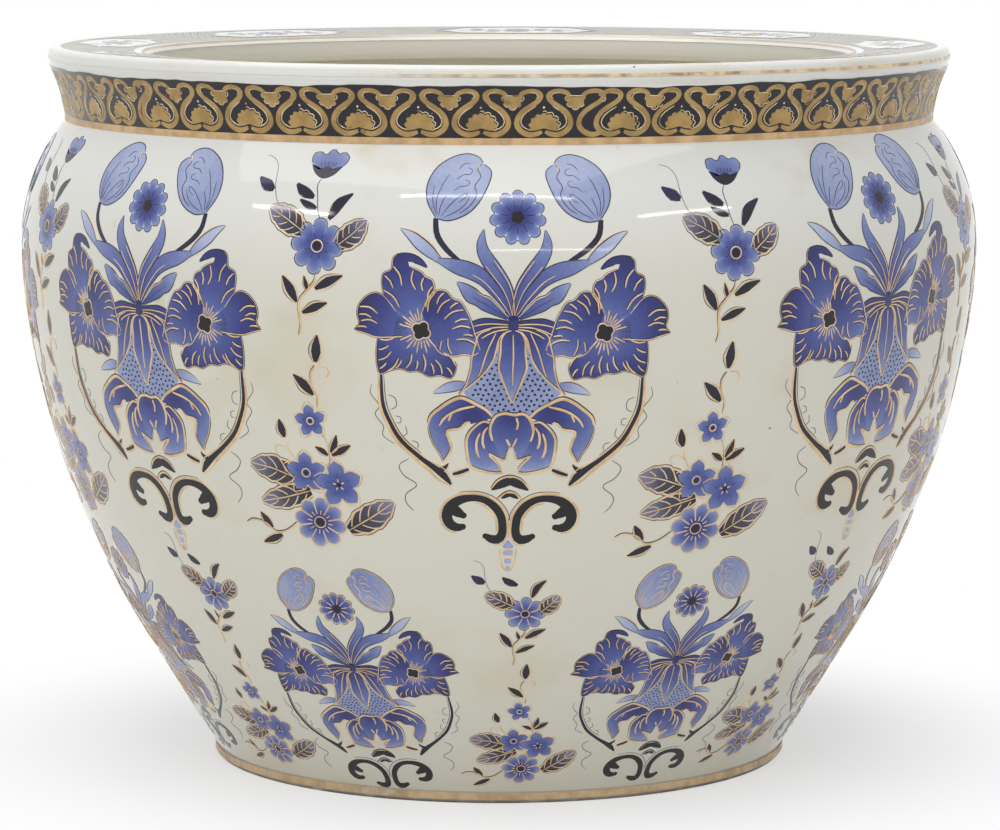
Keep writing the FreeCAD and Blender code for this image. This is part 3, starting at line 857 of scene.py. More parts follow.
def scroll_side():
    """One C-shaped scroll under the iris, thick at its outer turn, with two blunt hooks and gilt lines."""
    arm = [(-9.2, -88.8, 1.2), (-6.8, -90.1, 1.9), (-4.2, -90.2, 2.1), (-2.7, -87.8, 1.8), (-2.6, -84, 1.7),
           (-3.4, -79.8, 1.7), (-6, -75.8, 1.7), (-10.2, -73, 1.5), (-15.2, -72.4, 1.5),
           (-20.1, -73.7, 2.0), (-23.4, -76.9, 2.3), (-24.4, -80.7, 2.2), (-23, -84, 2.1),
           (-20.4, -85.3, 1.9), (-18.2, -85, 1.4)]
    spur = [(-23.6, -76.8, 2.3), (-21.2, -78, 2.4), (-19.4, -79.2, 1.9), (-18, -80, 1.4)]
    coats = [blade(arm, (0.0, 0.0), 1, rows=44), blade(spur, (0.0, 0.0), 2)]
    for end, reach in (((-9.1, -88.9), 1.3), ((-18.2, -85), 1.45), ((-18, -80), 1.45)):
        coats.append(disc(end, reach, 1, 0.0, (0.0, 0.0), 2))
    line = smooth_line(arm, 30)
    step = sides_of(line)
    for side, gap, run in ((1, 0.6, slice(4, 17)), (-1, 0.5, slice(2, 29))):
        rim = line[:, :2] + side * step * (line[:, 2:] + gap)
        coats.append(stroke(rim[run], 1.0, "gilt", 1, taper=0.4))
    rim = line[:, :2] - step * (line[:, 2:] + 1.4)
    coats.append(stroke(rim[6:20], 0.4, "ink", 0, 0.3, 0.5))
    return coats


def scrolls():
    """Pair of scrolls with two small caps over them."""
    cap = [(-7.8, -69.2, 0.1), (-4.5, -67, 1.5), (-1.9, -65.5, 2.0), (1.4, -64.9, 1.2)]
    small = [(-3.6, -72.6, 0.1), (-2, -71.6, 0.8), (-0.8, -71, 0.9), (0.9, -70.6, 0.5)]
    half = scroll_side()
    half += [blade(cap, (BLACK, BLACK), 1), blade(small, (BLACK, BLACK), 1)]
    coats = half + mirrored(half)
    coats += gilded([(-7.6, -68.6), (-4.6, -64.6), (0, -62.9), (4.6, -64.6), (7.6, -68.6)], 1.0, 3)
    coats += gilded([(-5, -73), (-2.4, -70.4), (0, -69.4), (2.4, -70.4), (5, -73)], 0.9, 3)
    return coats


def tail():
    """Jointed pale tail that hangs from the scrolls, inside a gilt outline."""
    top = [(-0.2, -90.4), (-2.4, -93.6), (-0.2, -94.4), (2, -93.6), (-0.2, -90.4)]
    coats = [patch((-0.2, -93), [top], (PALE, SOFT + 0.06), 1)]
    for level, wide in ((-96.3, 2.2), (-99.9, 1.6), (-103.2, 1.0)):
        joint = [(-wide - 0.2, level, 0.9), (-0.2, level - 0.2, 1.1), (wide - 0.2, level, 0.9)]
        coats.append(blade(joint, (PALE, PALE), 1))
        seam = [(-wide - 0.8, level + 1.5), (-0.2, level + 1.1), (wide + 0.4, level + 1.5)]
        coats.append(stroke(seam, 0.8, "gilt", 2))
    for side in (-1, 1):
        edge = [(side * 3.2 - 0.2, -94.2), (side * 2.9 - 0.2, -98), (side * 1.8 - 0.2, -103), (-0.2, -105)]
        coats.append(stroke(edge, 0.8, "gilt", 2))
    return coats


def bouquet(line_kind):
    """The whole bouquet about its knot: mirror pairs are drawn once, but the right bud stands further out.

    The small one, whose buds and daisy have gilt lines, has plain stems and scrolls, and no tail.
    """
    stem = side_stem()
    under = scrolls() + tail()
    if line_kind == "gilt":
        stem = [coat for coat in stem if coat.kind != "gilt"]
        under = [coat for coat in scrolls() if coat.kind != "gilt"]
    half = lily_leaves() + peony() + stem
    buds = bud(line_kind, 0.8) + mirrored(bud(line_kind, 3.8))
    return buds + half + mirrored(half) + daisy((1.2, 40.2), 10.9, line_kind) + bell() + iris() + under


def simple_leaf(tip, middle, base, width, tones=(NAVY, BLACK), line_kind="gilt"):
    """Small dark leaf from its tip over its middle to its base, inside its outline."""
    width = width * LEAF_FULLNESS
    points = [(*tip, 0.1), (*middle, width), (*between(middle, base), width * 0.8), (*base, 0.25)]
    coats = [blade(points, tones, 1)]
    if line_kind == "ink":
        return coats + edge_lines(points, 0.4, "ink", 0.2, inset=1.05, level=1)
    coats += edge_lines(points, 0.6, "gilt", inset=1.26, level=1)
    coats += edge_lines(points, 0.36, "ink", 0.1, sides=(-1,), inset=1.5, level=0)
    return coats


def toothed_leaf(tip, middle, base, width, tones=(0.02, 0.95), vein_width=0.72):
    """Lobed leaf, dark at its base and pale at its tip, parted by gilt veins that lean to the tip."""
    points = [(*base, 1.6), (*between(base, middle), width * 1.05), (*middle, width * 1.15),
              (*between(tip, middle), width * 0.85), (*tip, 0.1)]
    coats = [blade(points, tones, 1, LEAF_TEETH, kind="ink")]
    line = smooth_line(points, SPINE_POINTS)
    step = sides_of(line)
    reach = line[:, 2] * saw(np.linspace(0, 1, SPINE_POINTS), LEAF_TEETH)
    for side in (-1, 1):
        rim = line[:, :2] + side * step * (reach + 0.4)[:, None]
        coats.append(stroke(rim[::2], vein_width, "gilt", 1, taper=0.4))
        rim = rim + side * step * 0.5
        coats.append(stroke(rim[::2], 0.4, "ink", 0, 0.2, 0.6))
    coats.append(stroke(line[::5, :2], vein_width, "gilt", 1))
    for pick in VEIN_STARTS:
        far = pick + VEIN_LEAN
        for side in (-1, 1):
            end = line[far, :2] + side * step[far] * reach[far] * 1.04
            bend = (line[pick, :2] + end) / 2 + side * step[pick] * 0.9
            coats.append(stroke([line[pick, :2], bend, end], vein_width, "gilt", 1, taper=0.4))
    return coats


def petal_ring(centre, radius, petals, tones, turn, line_kind="ink", level=1, seam_kind="gilt"):
    """Ring of rounded petals about a dark eye, with an outline, seams, and middle lines where it is gilt."""
    centre = np.asarray(centre)
    coats = [
        disc(centre, radius, petals, 0.4, tones, level, turn, sharp=0.42, count=16 * petals),
        ring_line(centre, radius + 0.2, petals, 0.38, 0.55, line_kind, turn, 0.42, level, 0.15),
        disc(centre, radius * 0.17, 1, 0.0, (0.0, 0.0), level + 2),
        ring_line(centre, radius * 0.22, 1, 0.0, 0.6, level=level + 2),
    ]
    for index in range(petals):
        angle = turn + FULL_TURN * index / petals
        for share_out, lean, width in ((0.9, np.pi / petals, 0.8), (0.58, 0.0, 0.6)):
            way = spoke(angle + lean)
            places = [centre + way * radius * share for share in (0.22, (0.22 + share_out) / 2, share_out)]
            if line_kind == "gilt" or lean and seam_kind == "gilt":
                coats.append(stroke(places, width, "gilt", level + 2, taper=0.4))
            elif lean:
                coats.append(stroke(places[:2], 0.5, "ink", level + 2, 0.25, 0.6))
    return coats


def star_flower(centre, radius, turn, star, level=2):
    """Five pointed petals in one bell, inside a gilt outline, with a gilt star or ring at the middle."""
    centre = np.asarray(centre)

    def spot(angle, share):
        """Place at an angle from the upright and at a share of the radius."""
        return centre + share * radius * spoke(angle)

    margin = 0.7 / radius
    angles = turn + FULL_TURN / 5 * np.arange(5)
    runs = []
    outer_runs = []
    for angle in angles:
        for side in (-1, 1):
            turns = ((np.pi / 5, 0.56, margin), (0.36, 0.8, margin), (0.0, 1.0, 2 * margin))[::-side]
            runs.append([spot(angle + side * lean, share) for lean, share, gap in turns])
            outer_runs.append([spot(angle + side * lean, share + gap) for lean, share, gap in turns])
    coats = [patch(centre, runs, (COBALT + 0.04, SOFT + 0.02), level, None, 0.7)]
    coats += outlined(outer_runs, 0.6, "gilt", level=level - 1)
    for angle in angles:
        if star:
            coats.append(stroke([spot(angle, share) for share in (0.06, 0.18, 0.3)], 0.8, "gilt", level + 2))
        crease = [spot(angle, share) for share in (0.2, 0.4, 0.62)]
        coats.append(stroke(crease, 0.34, "ink", level + 1, 0.2, 0.8))
    coats.append(disc(centre, radius * 0.1, 1, 0.0, (0.0, 0.0), level + 3))
    if not star:
        coats.append(ring_line(centre, radius * 0.2, 1, 0.0, 0.7, level=level + 2))
    return coats


def tulip():
    """Small three-lobed flower on top of the spray, on its dark cup."""
    lobes = [(-6.8, 34), (-6.4, 38), (-3.4, 38.8), (-1.4, 37.4), (1.4, 40.2), (4, 38), (6.4, 38.8),
             (8.6, 36), (7, 32.4)]
    lobes_foot = [(7, 32.4), (0.4, 29.2), (-6.8, 34)]
    cup_top = [(-6.6, 33.4), (-3.4, 31), (0.6, 32.4), (4, 30.8), (7, 32.6)]
    cup_foot = [(7, 32.6), (3.6, 28.6), (-0.8, 27), (-4.6, 29.4), (-6.6, 33.4)]
    coats = [
        patch((0.6, 34.6), [lobes, lobes_foot], (MIDDLE - 0.04, SOFT + 0.06), 1, (0, 31)),
        patch((0, 30.4), [cup_top, cup_foot], (BLACK, NAVY + 0.04), 2),
    ]
    coats += outlined([lobes], 0.5, "ink", 0.2)
    for x in (-2.6, -1, 0.6, 2.2, 3.6):
        coats.append(stroke([(x * 0.7, 31.6), (x, 33.4), (x * 1.1, 35)], 0.42, "ink", 3, 0.1, 0.6))
    return coats


def spray_top(with_tulip, upper_tones):
    """Upper part of the spray about the eye of its round flower, with gilt seams if no tulip is above it."""
    stalk = [(-1, 27.4), (-2.4, 24.4), (-1.7, 19.8), (-0.9, 14.3), (0.6, 10)]
    tendril = [(-27, 36.9), (-23.3, 35.6), (-20.9, 31.9), (-20.5, 23.8), (-18.6, 17.2), (-14, 12)]
    stem = [(-0.2, -10), (-0.8, -13.6), (-3.8, -17.2), (-7.3, -21.4), (-7.6, -26.7), (-7.1, -31.1),
            (-8.3, -35.4)]
    seam_kind = "ink" if with_tulip else "gilt"
    vein_width = 0.48 if with_tulip else 0.85
    coats = []
    if with_tulip:
        coats += tulip()
        coats += simple_leaf((-9.4, 18.6), (-5.6, 16.2), (-0.9, 14.5), 1.0, line_kind="ink")
        coats.append(stroke(stalk, 0.5, "ink", 1, 0.6, 0.3))
    coats += simple_leaf((-11.6, 25.4), (-8.2, 21.8), (-2.4, 18.8), 1.5, line_kind="ink")
    coats += simple_leaf((13.4, 21.4), (7.8, 17.0), (3.8, 9.8), 1.5, line_kind=seam_kind)
    coats.append(stroke(tendril, 0.36, "ink", 1, 0.7, 0.4))
    coats += simple_leaf((-28.4, 27.6), (-24.6, 24.2), (-20.4, 21.6), 1.7, (NAVY + 0.06, NAVY), "ink")
    coats += toothed_leaf((-21.8, 15), (-14, 10.6), (-5.4, 5), 4.2, upper_tones, vein_width=vein_width)
    coats += toothed_leaf((19.8, 10.6), (14.4, 5), (7.6, -0.4), 3.8, upper_tones, vein_width=vein_width)
    coats += petal_ring((0, 0), 10.8, 8, (COBALT - 0.08, SOFT + 0.08), 0.12, seam_kind=seam_kind)
    coats += gilded(stem, 1.2)
    for leaf in (
        ((-14.8, -11.2), (-11.6, -16.2), (-8.2, -22.6), 1.5),
        ((-5.4, -11), (-4.5, -14.6), (-3.6, -18), 0.7),
        ((11.6, -11), (5.4, -13.4), (-1.4, -17), 1.4),
        ((4.9, -21.7), (-0.4, -23.6), (-7, -26.4), 1.25),
    ):
        coats += simple_leaf(*leaf)
    return coats


def spray_foot():
    """Lower part of the spray: leaves on a broken stem, three star flowers and a round one with leaves."""
    curl = [(-15.6, -83.4), (-19, -80.4), (-22.3, -80.5), (-23, -83), (-20.8, -83.6)]
    runner = [(-17, -113), (-22.6, -117.2), (-28, -118), (-31.6, -114.6), (-37.6, -113.2), (-41.2, -115)]
    coats = simple_leaf((-0.5, -34), (-1.2, -40), (-2, -46.4), 1.6)
    coats.append(stroke([(-1.5, -46.9), (2.5, -47.2), (3.4, -50.2), (1.4, -52)], 0.7, "gilt", 1))
    coats += gilded([(-2.2, -46.8), (-4.4, -50.6), (-3.9, -55.4), (-2.1, -59.7), (-2.6, -64.4)], 1.0)
    coats += simple_leaf((-12.3, -50.3), (-8, -54.2), (-3.4, -59.4), 1.5)
    coats += star_flower((-6.2, -69.6), 7.0, -0.1, False)
    coats += gilded([(-1.6, -75), (0.2, -79), (0.6, -84.3), (0, -90)], 0.55)
    for leaf in (
        ((4.4, -74.4), (3.2, -79), (0.8, -83), 1.0),
        ((10.2, -78.8), (6.2, -81.2), (0.9, -84), 1.1),
        ((-5.6, -80), (-2.6, -81.6), (0.2, -84), 0.9),
        ((-19.9, -68.8), (-19.2, -73), (-18, -77.4), 1.3),
    ):
        coats += simple_leaf(*leaf)
    coats.append(stroke([(-13.6, -87), (-16.4, -82.6), (-17.6, -78)], 0.5, "gilt", 1))
    coats.append(stroke(curl, 0.5, "gilt", 1))
    for leaf in (
        ((-35.6, -88.2), (-25.3, -90.2), (-13.4, -94.4), 4.8),
        ((-32.6, -105), (-21.4, -102.6), (-9, -99), 4.0),
        ((25, -102.6), (15.4, -109.2), (4.2, -116), 4.6),
    ):
        coats += toothed_leaf(*leaf)
    coats += star_flower((-10.4, -91.4), 8.9, 0.0, False, 5)
    coats += star_flower((3.0, -96.0), 10.2, -0.1, True, 8)
    coats += petal_ring((-7.2, -112.6), 10.8, 8, (NAVY + 0.02, PALE - 0.06), 0.2, "gilt", 8)
    coats += gilded(runner, 0.8)
    coats += simple_leaf((-34, -109.3), (-31.8, -112.6), (-28.7, -117), 1.1)
    coats += simple_leaf((-35.2, -123.6), (-30.2, -121.6), (-24.3, -119), 1.2)
    return coats


def spray(with_tulip, upper_tones):
    """The whole spray."""
    return spray_top(with_tulip, upper_tones) + spray_foot()


def fan(centre, wide, tall, sweep, lobes, count):
    """Outline of a shell: an ellipse about the centre over a sweep to both sides, notched between lobes."""
    angle = np.linspace(-sweep, sweep, count)
    lobe = np.abs(np.cos(np.pi * angle * (lobes - 1) / (2 * sweep)))
    reach = 1 - 0.2 * (1 - lobe ** 0.6)
    return np.stack([centre[0] + wide * reach * np.sin(angle), centre[1] + tall * reach * np.cos(angle)], 1)


def neck_scroll():
    """One S-shaped scroll of the neck band, with the light line along its inner side."""
    spine = [(-0.2, 2.8, 0.6), (-2.4, 1.8, 0.95), (-5.6, 1.4, 1.1), (-8.8, 2.9, 1.1), (-10.4, 5.4, 1.1),
             (-10, 8.2, 1.05), (-8.2, 10.8, 1.05), (-5.4, 12.9, 1.05), (-2.7, 14.9, 1.05), (-1.5, 17, 1.05),
             (-2.6, 18.8, 1.05), (-5.6, 19.4, 1.05), (-8.6, 18.5, 1.0), (-10, 16.7, 0.8)]
    line = smooth_line(spine, 40)
    step = sides_of(line)
    inner = line[:, :2] - step * (line[:, 2:] + 0.45)
    outer = line[:, :2] + step * (line[:, 2:] - 0.1)
    barb = [(-9.8, 15.4), (-8.7, 14.7), (-7.9, 15.8), (-8.4, 16.8)]
    return [
        blade(spine, (0.5, 0.5), 1, rows=34, kind="ochre"),
        stroke(inner[4:25:2], 0.5, "light", 2, taper=0.5),
        stroke(outer[25:37:2], 0.4, "light", 2, taper=0.6),
        stroke(barb, 0.42, "light", 2, taper=0.6, step=0.6),
    ]


def neck_unit():
    """One repeat of the neck band: two scrolls about a shell, and the small shell that joins the next."""
    half = neck_scroll()
    coats = half + mirrored(half)
    shell = fan((0, 4.8), 6.0, 5.4, 1.95, 9, 73)
    shell_foot = [shell[-1], (2.6, 3.2), (0.0, 3.9), (-2.6, 3.2), shell[0]]
    coats.append(patch((0, 5.2), [shell, shell_foot], (0.6, 0.45), 2, None, 0.4, "ochre"))
    edge = fan((0.1, 4.8), 6.4, 5.8, 1.95, 9, 73)
    coats.append(stroke(edge[34:72], 0.42, "light", 3, taper=0.4, step=0.4))
    small = fan((0, 0), 3.9, 5.0, 1.75, 5, 41) * (1, -1) + (0, 16.4)
    small_top = [small[-1], (0, 16.9), small[0]]
    trefoil = [patch((0, 15), [small, small_top], (0.6, 0.45), 2, None, 0.4, "ochre")]
    edge = fan((0, 0), 4.2, 5.4, 1.75, 5, 41) * (1, -1) + (0, 16.4)
    trefoil.append(stroke(edge[8:32], 0.42, "light", 3, taper=0.4, step=0.4))
    trefoil.append(stroke([(-3.4, 17.1), (0, 16.9), (3.4, 17.1)], 0.42, "light", 3, taper=0.5))
    coats += moved(trefoil, (NECK_PERIOD / 2, 0))
    coats.append(dot((-0.1, 12.0), 0.55, 0.5, 1, "light"))
    return coats


def rim_reserve():
    """White reserve of the rim: a long oval with a waist at each end, a grey outline and a flower sprig."""
    side = [(-38, 0), (-32, 4.2), (-25, 10.6), (-12, 12.4), (0, 13.4), (12, 12.4), (25, 10.6), (32, 4.2),
            (38, 0)]
    other = [(-x, -y) for x, y in side]
    eye = (0, 0.4)
    coats = [patch((0, 0), [side, other], (1.0, 1.0), 1, kind="white")]
    coats += outlined([side, other], 1.0, "ink", 0.35, 2)
    coats += [stroke([(x * 0.95, y * 0.9) for x, y in run], 0.4, "ink", 2, 0.8, 0.3) for run in (side, other)]
    coats.append(disc(eye, 7.4, 8, 0.25, (NAVY, MIDDLE), 2, sharp=0.6))
    coats += rays(eye, 2.2, 5.6, 8, 0.6, "ink", tone=0.9)
    coats.append(ring_line(eye, 1.8, 1, 0.0, 0.8, level=3))
    for x, y, way in ((9.5, 1.6, 1), (17.5, -1.4, -1), (-9.5, -1.6, -1), (-17.5, 1.4, 1)):
        lean = 5 if x > 0 else -5
        for share, drop, wide in ((1.2, 5.4 * way, 2.0), (1.0, -5.2 * way, 1.7)):
            tip = (x + lean * share, y + drop, 0.1)
            leaf = [tip, (x + lean * 0.4, y + drop * 0.65, wide), (x - lean * 0.6, y, 0.3)]
            coats.append(blade(leaf, (0.5, 0.1), 2, kind="ink"))
    for twig in (
        [(5, 0.4), (12, 0.8), (19, -0.8), (28, 0.2)],
        [(-5, 0.4), (-12, -0.8), (-19, 0.8), (-28, -0.2)],
    ):
        coats.append(stroke(twig, 0.7, "ink", 2, 0.4, 0.6))
    return coats


Flat = namedtuple("Flat", "places heights tones corners sizes spots cells")


def around(index):
    """Four corners of every cell of a grid, in turn."""
    return np.stack([index[:-1, :-1], index[:-1, 1:], index[1:, 1:], index[1:, :-1]], -1).reshape(-1, 4)


def numbered(rows, columns, closed=True):
    """Numbers of a grid's points, with the first column again at the end if the grid closes on itself."""
    index = np.arange(rows * columns).reshape(rows, columns)
    return np.hstack([index, index[:, :1]]) if closed else index


def grid_spots(across, up):
    """Places on the map of every cell's four corners."""
    return np.stack([around(across), around(up)], -1)


def fan_faces(index, across, up, middle, middle_up, order):
    """Triangles from a row of a closed grid to the point at its middle: corners, map places and sizes."""
    count = len(index) - 1
    corners = np.stack([index[1:], index[:-1], np.full(count, middle)], -1)
    spots_across = np.stack([across[1:], across[:-1], across[:-1]], -1)
    spots_up = np.stack([up[1:], up[:-1], np.full(count, middle_up)], -1)
    spots = np.stack([spots_across, spots_up], -1)
    return corners[:, ::order].ravel(), spots[:, ::order].reshape(-1, 2), np.full(count, 3)


def flat_mesh(coats):
    """All the coats as one flat mesh, with every face the same way round.

    A disc or a band closes on itself, and a disc has a point at its middle. Every coat has its own cell of a
    map, in which the columns run across and the rows up.
    """
    places, heights, tones, corners, sizes, spots, cells = ([] for _ in Flat._fields)
    start = 0
    for cell, coat in enumerate(coats):
        rows, columns = coat.grid.shape[:2]
        index = numbered(rows, columns, coat.form != "open")
        across, up = np.meshgrid(np.linspace(0, 1, index.shape[1]), np.linspace(0.1, 1, rows))
        quads = around(index)
        points = coat.grid.reshape(-1, 2)
        height = coat.height.ravel()
        tone = coat.tone.ravel()
        first, second, third = (points[quads[:, corner]] for corner in range(3))
        one = second - first
        two = third - first
        order = 1 if (one[:, 0] * two[:, 1] - one[:, 1] * two[:, 0]).sum() > 0 else -1
        quad_spots = grid_spots(across, up)[:, ::order]
        faces = [(quads[:, ::order].ravel(), quad_spots.reshape(-1, 2), np.full(len(quads), 4))]
        if coat.form == "disc":
            faces.append(fan_faces(index[0], across[0], up[0], len(points), 0, order))
            points = np.vstack([points, points[:columns].mean(0)])
            height = np.append(height, height[0])
            tone = np.append(tone, tone[0])
        for face_corners, face_spots, face_sizes in faces:
            corners.append(face_corners + start)
            spots.append(face_spots)
            sizes.append(face_sizes)
            cells.append(np.full(len(face_spots), cell))
        places.append(points)
        heights.append(height)
        tones.append(tone)
        start += len(points)
    return Flat(*(np.concatenate(part) for part in (places, heights, tones, corners, sizes, spots, cells)))


def write_map(mesh, name, spots):
    """Puts the places of all face corners into a new map of the mesh."""
    mesh.uv_layers.new(name=name).data.foreach_set("uv", np.ascontiguousarray(spots, np.float32).ravel())


def new_piece(name, vertices, corners, sizes, finish, spots, tones=None, normals=None):
    """Smooth mesh piece from its points in millimetres, its faces' corners and how many each face has."""
    mesh = bpy.data.meshes.new(name)
    mesh.vertices.add(len(vertices))
    mesh.vertices.foreach_set("co", np.ascontiguousarray(vertices * MILLIMETRE, np.float32).ravel())
    mesh.loops.add(len(corners))
    mesh.loops.foreach_set("vertex_index", np.ascontiguousarray(corners, np.int32))
    mesh.polygons.add(len(sizes))
    mesh.polygons.foreach_set("loop_start", np.concatenate([[0], np.cumsum(sizes)[:-1]]).astype(np.int32))
    mesh.polygons.foreach_set("use_smooth", np.ones(len(sizes), bool))
    mesh.update(calc_edges=True)
    write_map(mesh, BAKE_MAP, spots)
    if tones is not None:
        mesh.attributes.new("tone", "FLOAT", "POINT").data.foreach_set("value", tones.astype(np.float32))
    if normals is not None:
        mesh.normals_split_custom_set_from_vertices(normals.astype(np.float32))
    mesh.materials.append(finish)
    piece = bpy.data.objects.new(name, mesh)
    bpy.context.scene.collection.objects.link(piece)
    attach(piece, "root")
    return piece


def painted(name, coats, kind, places, finish, base_lift=0.0):
    """The coats of one kind, laid on the bowl at every place.

    A place is an azimuth, an arc length, a scale and a turn. A coat's upright distance is added to the arc,
    and its sideways distance is divided by the radius there and added to the azimuth. Films take the wall's
    own normals, so that the glaze over them looks unbroken, and raised lines keep theirs.
    """
    chosen = [coat for coat in coats if coat.kind == kind]
    flat = flat_mesh(chosen)
    cells = int(np.ceil(np.sqrt(len(places) * len(chosen))))
    inset = CELL_MARGIN + (1 - 2 * CELL_MARGIN) * flat.spots
    vertices, normals, corners, spots = [], [], [], []
    for copy, (azimuth, arc, scale, turn) in enumerate(places):
        cosine = np.cos(turn)
        sine = np.sin(turn)
        local = scale * flat.places @ np.array([[cosine, sine], [-sine, cosine]])
        up = arc + local[:, 1]
        along = azimuth + local[:, 0] / skin.radius_at(up)
        vertices.append(skin.place(along, up, flat.heights + base_lift))
        normals.append(skin.facing(along, up))
        corners.append(flat.corners + copy * len(flat.places))
        cell = flat.cells + copy * len(chosen)
        spots.append((np.stack([cell % cells, cell // cells], -1) + inset) / cells)
    return new_piece(
        name, np.vstack(vertices), np.concatenate(corners), np.tile(flat.sizes, len(places)), finish,
        np.vstack(spots), np.tile(flat.tones, len(places)), None if kind in RAISED else np.vstack(normals),
    )


def turned(name, outline, finish, waves):
    """Outline turned once about the axis, with a single point where it starts or ends on the axis.

    Where the waves are on, a point of the outline moves outward by the wave of its azimuth and height.
    """
    azimuth = np.linspace(0, FULL_TURN, TURN_STEPS, endpoint=False)
    on_axis = outline[:, 0] < SAME_PLACE
    ring = outline[~on_axis]
    radius = ring[:, :1] + np.where(waves[~on_axis, None], wave(azimuth[None], ring[:, 1:]), 0)
    height = np.broadcast_to(ring[:, 1:], radius.shape)
    vertices = np.stack([radius * np.sin(azimuth), -radius * np.cos(azimuth), height], -1).reshape(-1, 3)
    rows = len(ring)
    index = numbered(rows, TURN_STEPS)
    gaps = np.hypot(*np.diff(outline, axis=0).T)
    arc = np.concatenate([[0], np.cumsum(gaps)]) / gaps.sum()
    across, up = np.meshgrid(np.linspace(0, 1, TURN_STEPS + 1), arc[~on_axis])
    quads = around(index)
    faces = [(quads.ravel(), grid_spots(across, up).reshape(-1, 2), np.full(len(quads), 4))]
    for place, row, order in ((0, 0, 1), (-1, rows - 1, -1)):
        if on_axis[place]:
            faces.append(fan_faces(index[row], across[row], up[row], len(vertices), arc[place], order))
            vertices = np.vstack([vertices, [[0, 0, outline[place, 1]]]])
    corners, spots, sizes = (np.concatenate(part) for part in zip(*faces))
    return new_piece(name, vertices, corners, sizes, finish, spots)


def srgb(red, green, blue):
    """Linear colour of a screen colour given from 0 to 255."""
    screen = np.array([red, green, blue]) / 255
    linear = np.where(screen <= 0.04045, screen / 12.92, ((screen + 0.055) / 1.055) ** 2.4)
    return (*linear.tolist(), 1.0)


# Constant socket of everything that lies under the glaze.
GLAZED = {"IOR": 1.46}
# Share of metal in unworn gilt.
GILT_METAL = 0.3
# Map of the rim's lattice, in its periods.
LATTICE_MAP = "lattice"
# Heights in metres between which the glaze and the coats change.
GREEN_HEIGHTS = (0.13, 0.0)
# Heights of the shoulder's painted sheen: glaze painted a more neutral white where a white ceiling's
# reflection would fall.
SHOULDER_SHEEN_HEIGHTS = (0.2, 0.262)
# Heights over which the lip turns to the whiter glaze, which is partly painted highlight.
LIP_HIGHLIGHT_HEIGHTS = (0.293, 0.297)
STAIN_RISE = (0.19, 0.27)
STAIN_FALL = (0.294, 0.28)
GRIME_HEIGHTS = (0.0022, 0.0002)
BAND_TOP = (0.2955, 0.2958)
# Half width of the change from outside to inside as a share of the outline, and the specks' grain per metre.
INSIDE_BLUR = 0.004
SPECK_GRAIN = 55.0

GLAZE_WHITE = srgb(231, 229, 216)
GLAZE_CREAM = srgb(226, 223, 206)
# Painted sheen: the shoulder's glaze is painted a more neutral white, standing in for the white ceiling's
# reflection.
SHOULDER_PAINTED_SHEEN = srgb(231, 232, 229)
GLAZE_GREEN = srgb(224, 222, 206)
GLAZE_STAIN = srgb(206, 186, 140)
# Painted light: the inside's glaze is painted whiter than the outside's, to lift the shade inside the bowl.
INSIDE_PAINTED_LIGHT = srgb(250, 247, 237)
# White of the lip and rim: white glaze, made lighter than the body's as painted highlight of the top.
RIM_WHITE_WITH_HIGHLIGHT = srgb(238, 238, 232)
SPECK = srgb(60, 52, 44)
BISCUIT_PALE = srgb(206, 198, 182)
BISCUIT_GREY = srgb(184, 176, 162)
GRIME = srgb(92, 82, 70)
NAVY_DARK = srgb(12, 9, 20)
NAVY_PALE = srgb(28, 24, 40)
NAVY_CHIP = srgb(150, 140, 120)
LATTICE_PALE = srgb(176, 174, 156)
LATTICE_GREEN = srgb(148, 148, 128)
LATTICE_LINE = srgb(88, 80, 70)
LATTICE_DOT = srgb(96, 98, 110)
GOLD = srgb(236, 205, 158)
GOLD_DULL = srgb(212, 178, 132)
GOLD_BARE = srgb(206, 176, 136)
GOLD_BROWN = srgb(160, 128, 84)
NECK_GOLD = srgb(220, 184, 134)
NECK_DULL = srgb(190, 154, 108)
FOOT_GOLD = srgb(214, 186, 144)
FOOT_DULL = srgb(186, 158, 120)
FOOT_BARE = srgb(206, 192, 172)
OCHRE = srgb(186, 153, 94)
OCHRE_DULL = srgb(160, 130, 78)
OCHRE_BARE = srgb(104, 86, 60)
LIGHT_GOLD = srgb(240, 220, 184)
LIGHT_DULL = srgb(222, 196, 150)
COBALT_STOPS = [
    (0.0, srgb(12, 8, 12)), (0.16, srgb(30, 27, 54)), (0.34, srgb(47, 55, 128)), (0.52, srgb(79, 93, 162)),
    (0.68, srgb(118, 132, 186)), (0.84, srgb(172, 184, 218)), (0.96, srgb(204, 211, 232)),
    (1.0, srgb(224, 219, 203)),
]
INK_STOPS = [(0.0, srgb(16, 12, 18)), (0.5, srgb(68, 68, 90)), (1.0, srgb(146, 148, 180))]


class Value:
    """A shader value: arithmetic on it adds the Math node that works it out."""

    def __init__(self, nodes, socket):
        self.nodes = nodes
        self.socket = socket

    def combined(self, operation, first, second):
        """Value of a Math node with two inputs."""
        return self.nodes.value("ShaderNodeMath", {"operation": operation}, {0: first, 1: second})

    def __add__(self, other):
        return self.combined("ADD", self, other)

    def __radd__(self, other):
        return self.combined("ADD", other, self)

    def __sub__(self, other):
        return self.combined("SUBTRACT", self, other)

    def __rsub__(self, other):
        return self.combined("SUBTRACT", other, self)

    def __mul__(self, other):
        return self.combined("MULTIPLY", self, other)

    def __rmul__(self, other):
        return self.combined("MULTIPLY", other, self)

    def highest(self, other):
        """The greater of two values."""
        return self.combined("MAXIMUM", self, other)


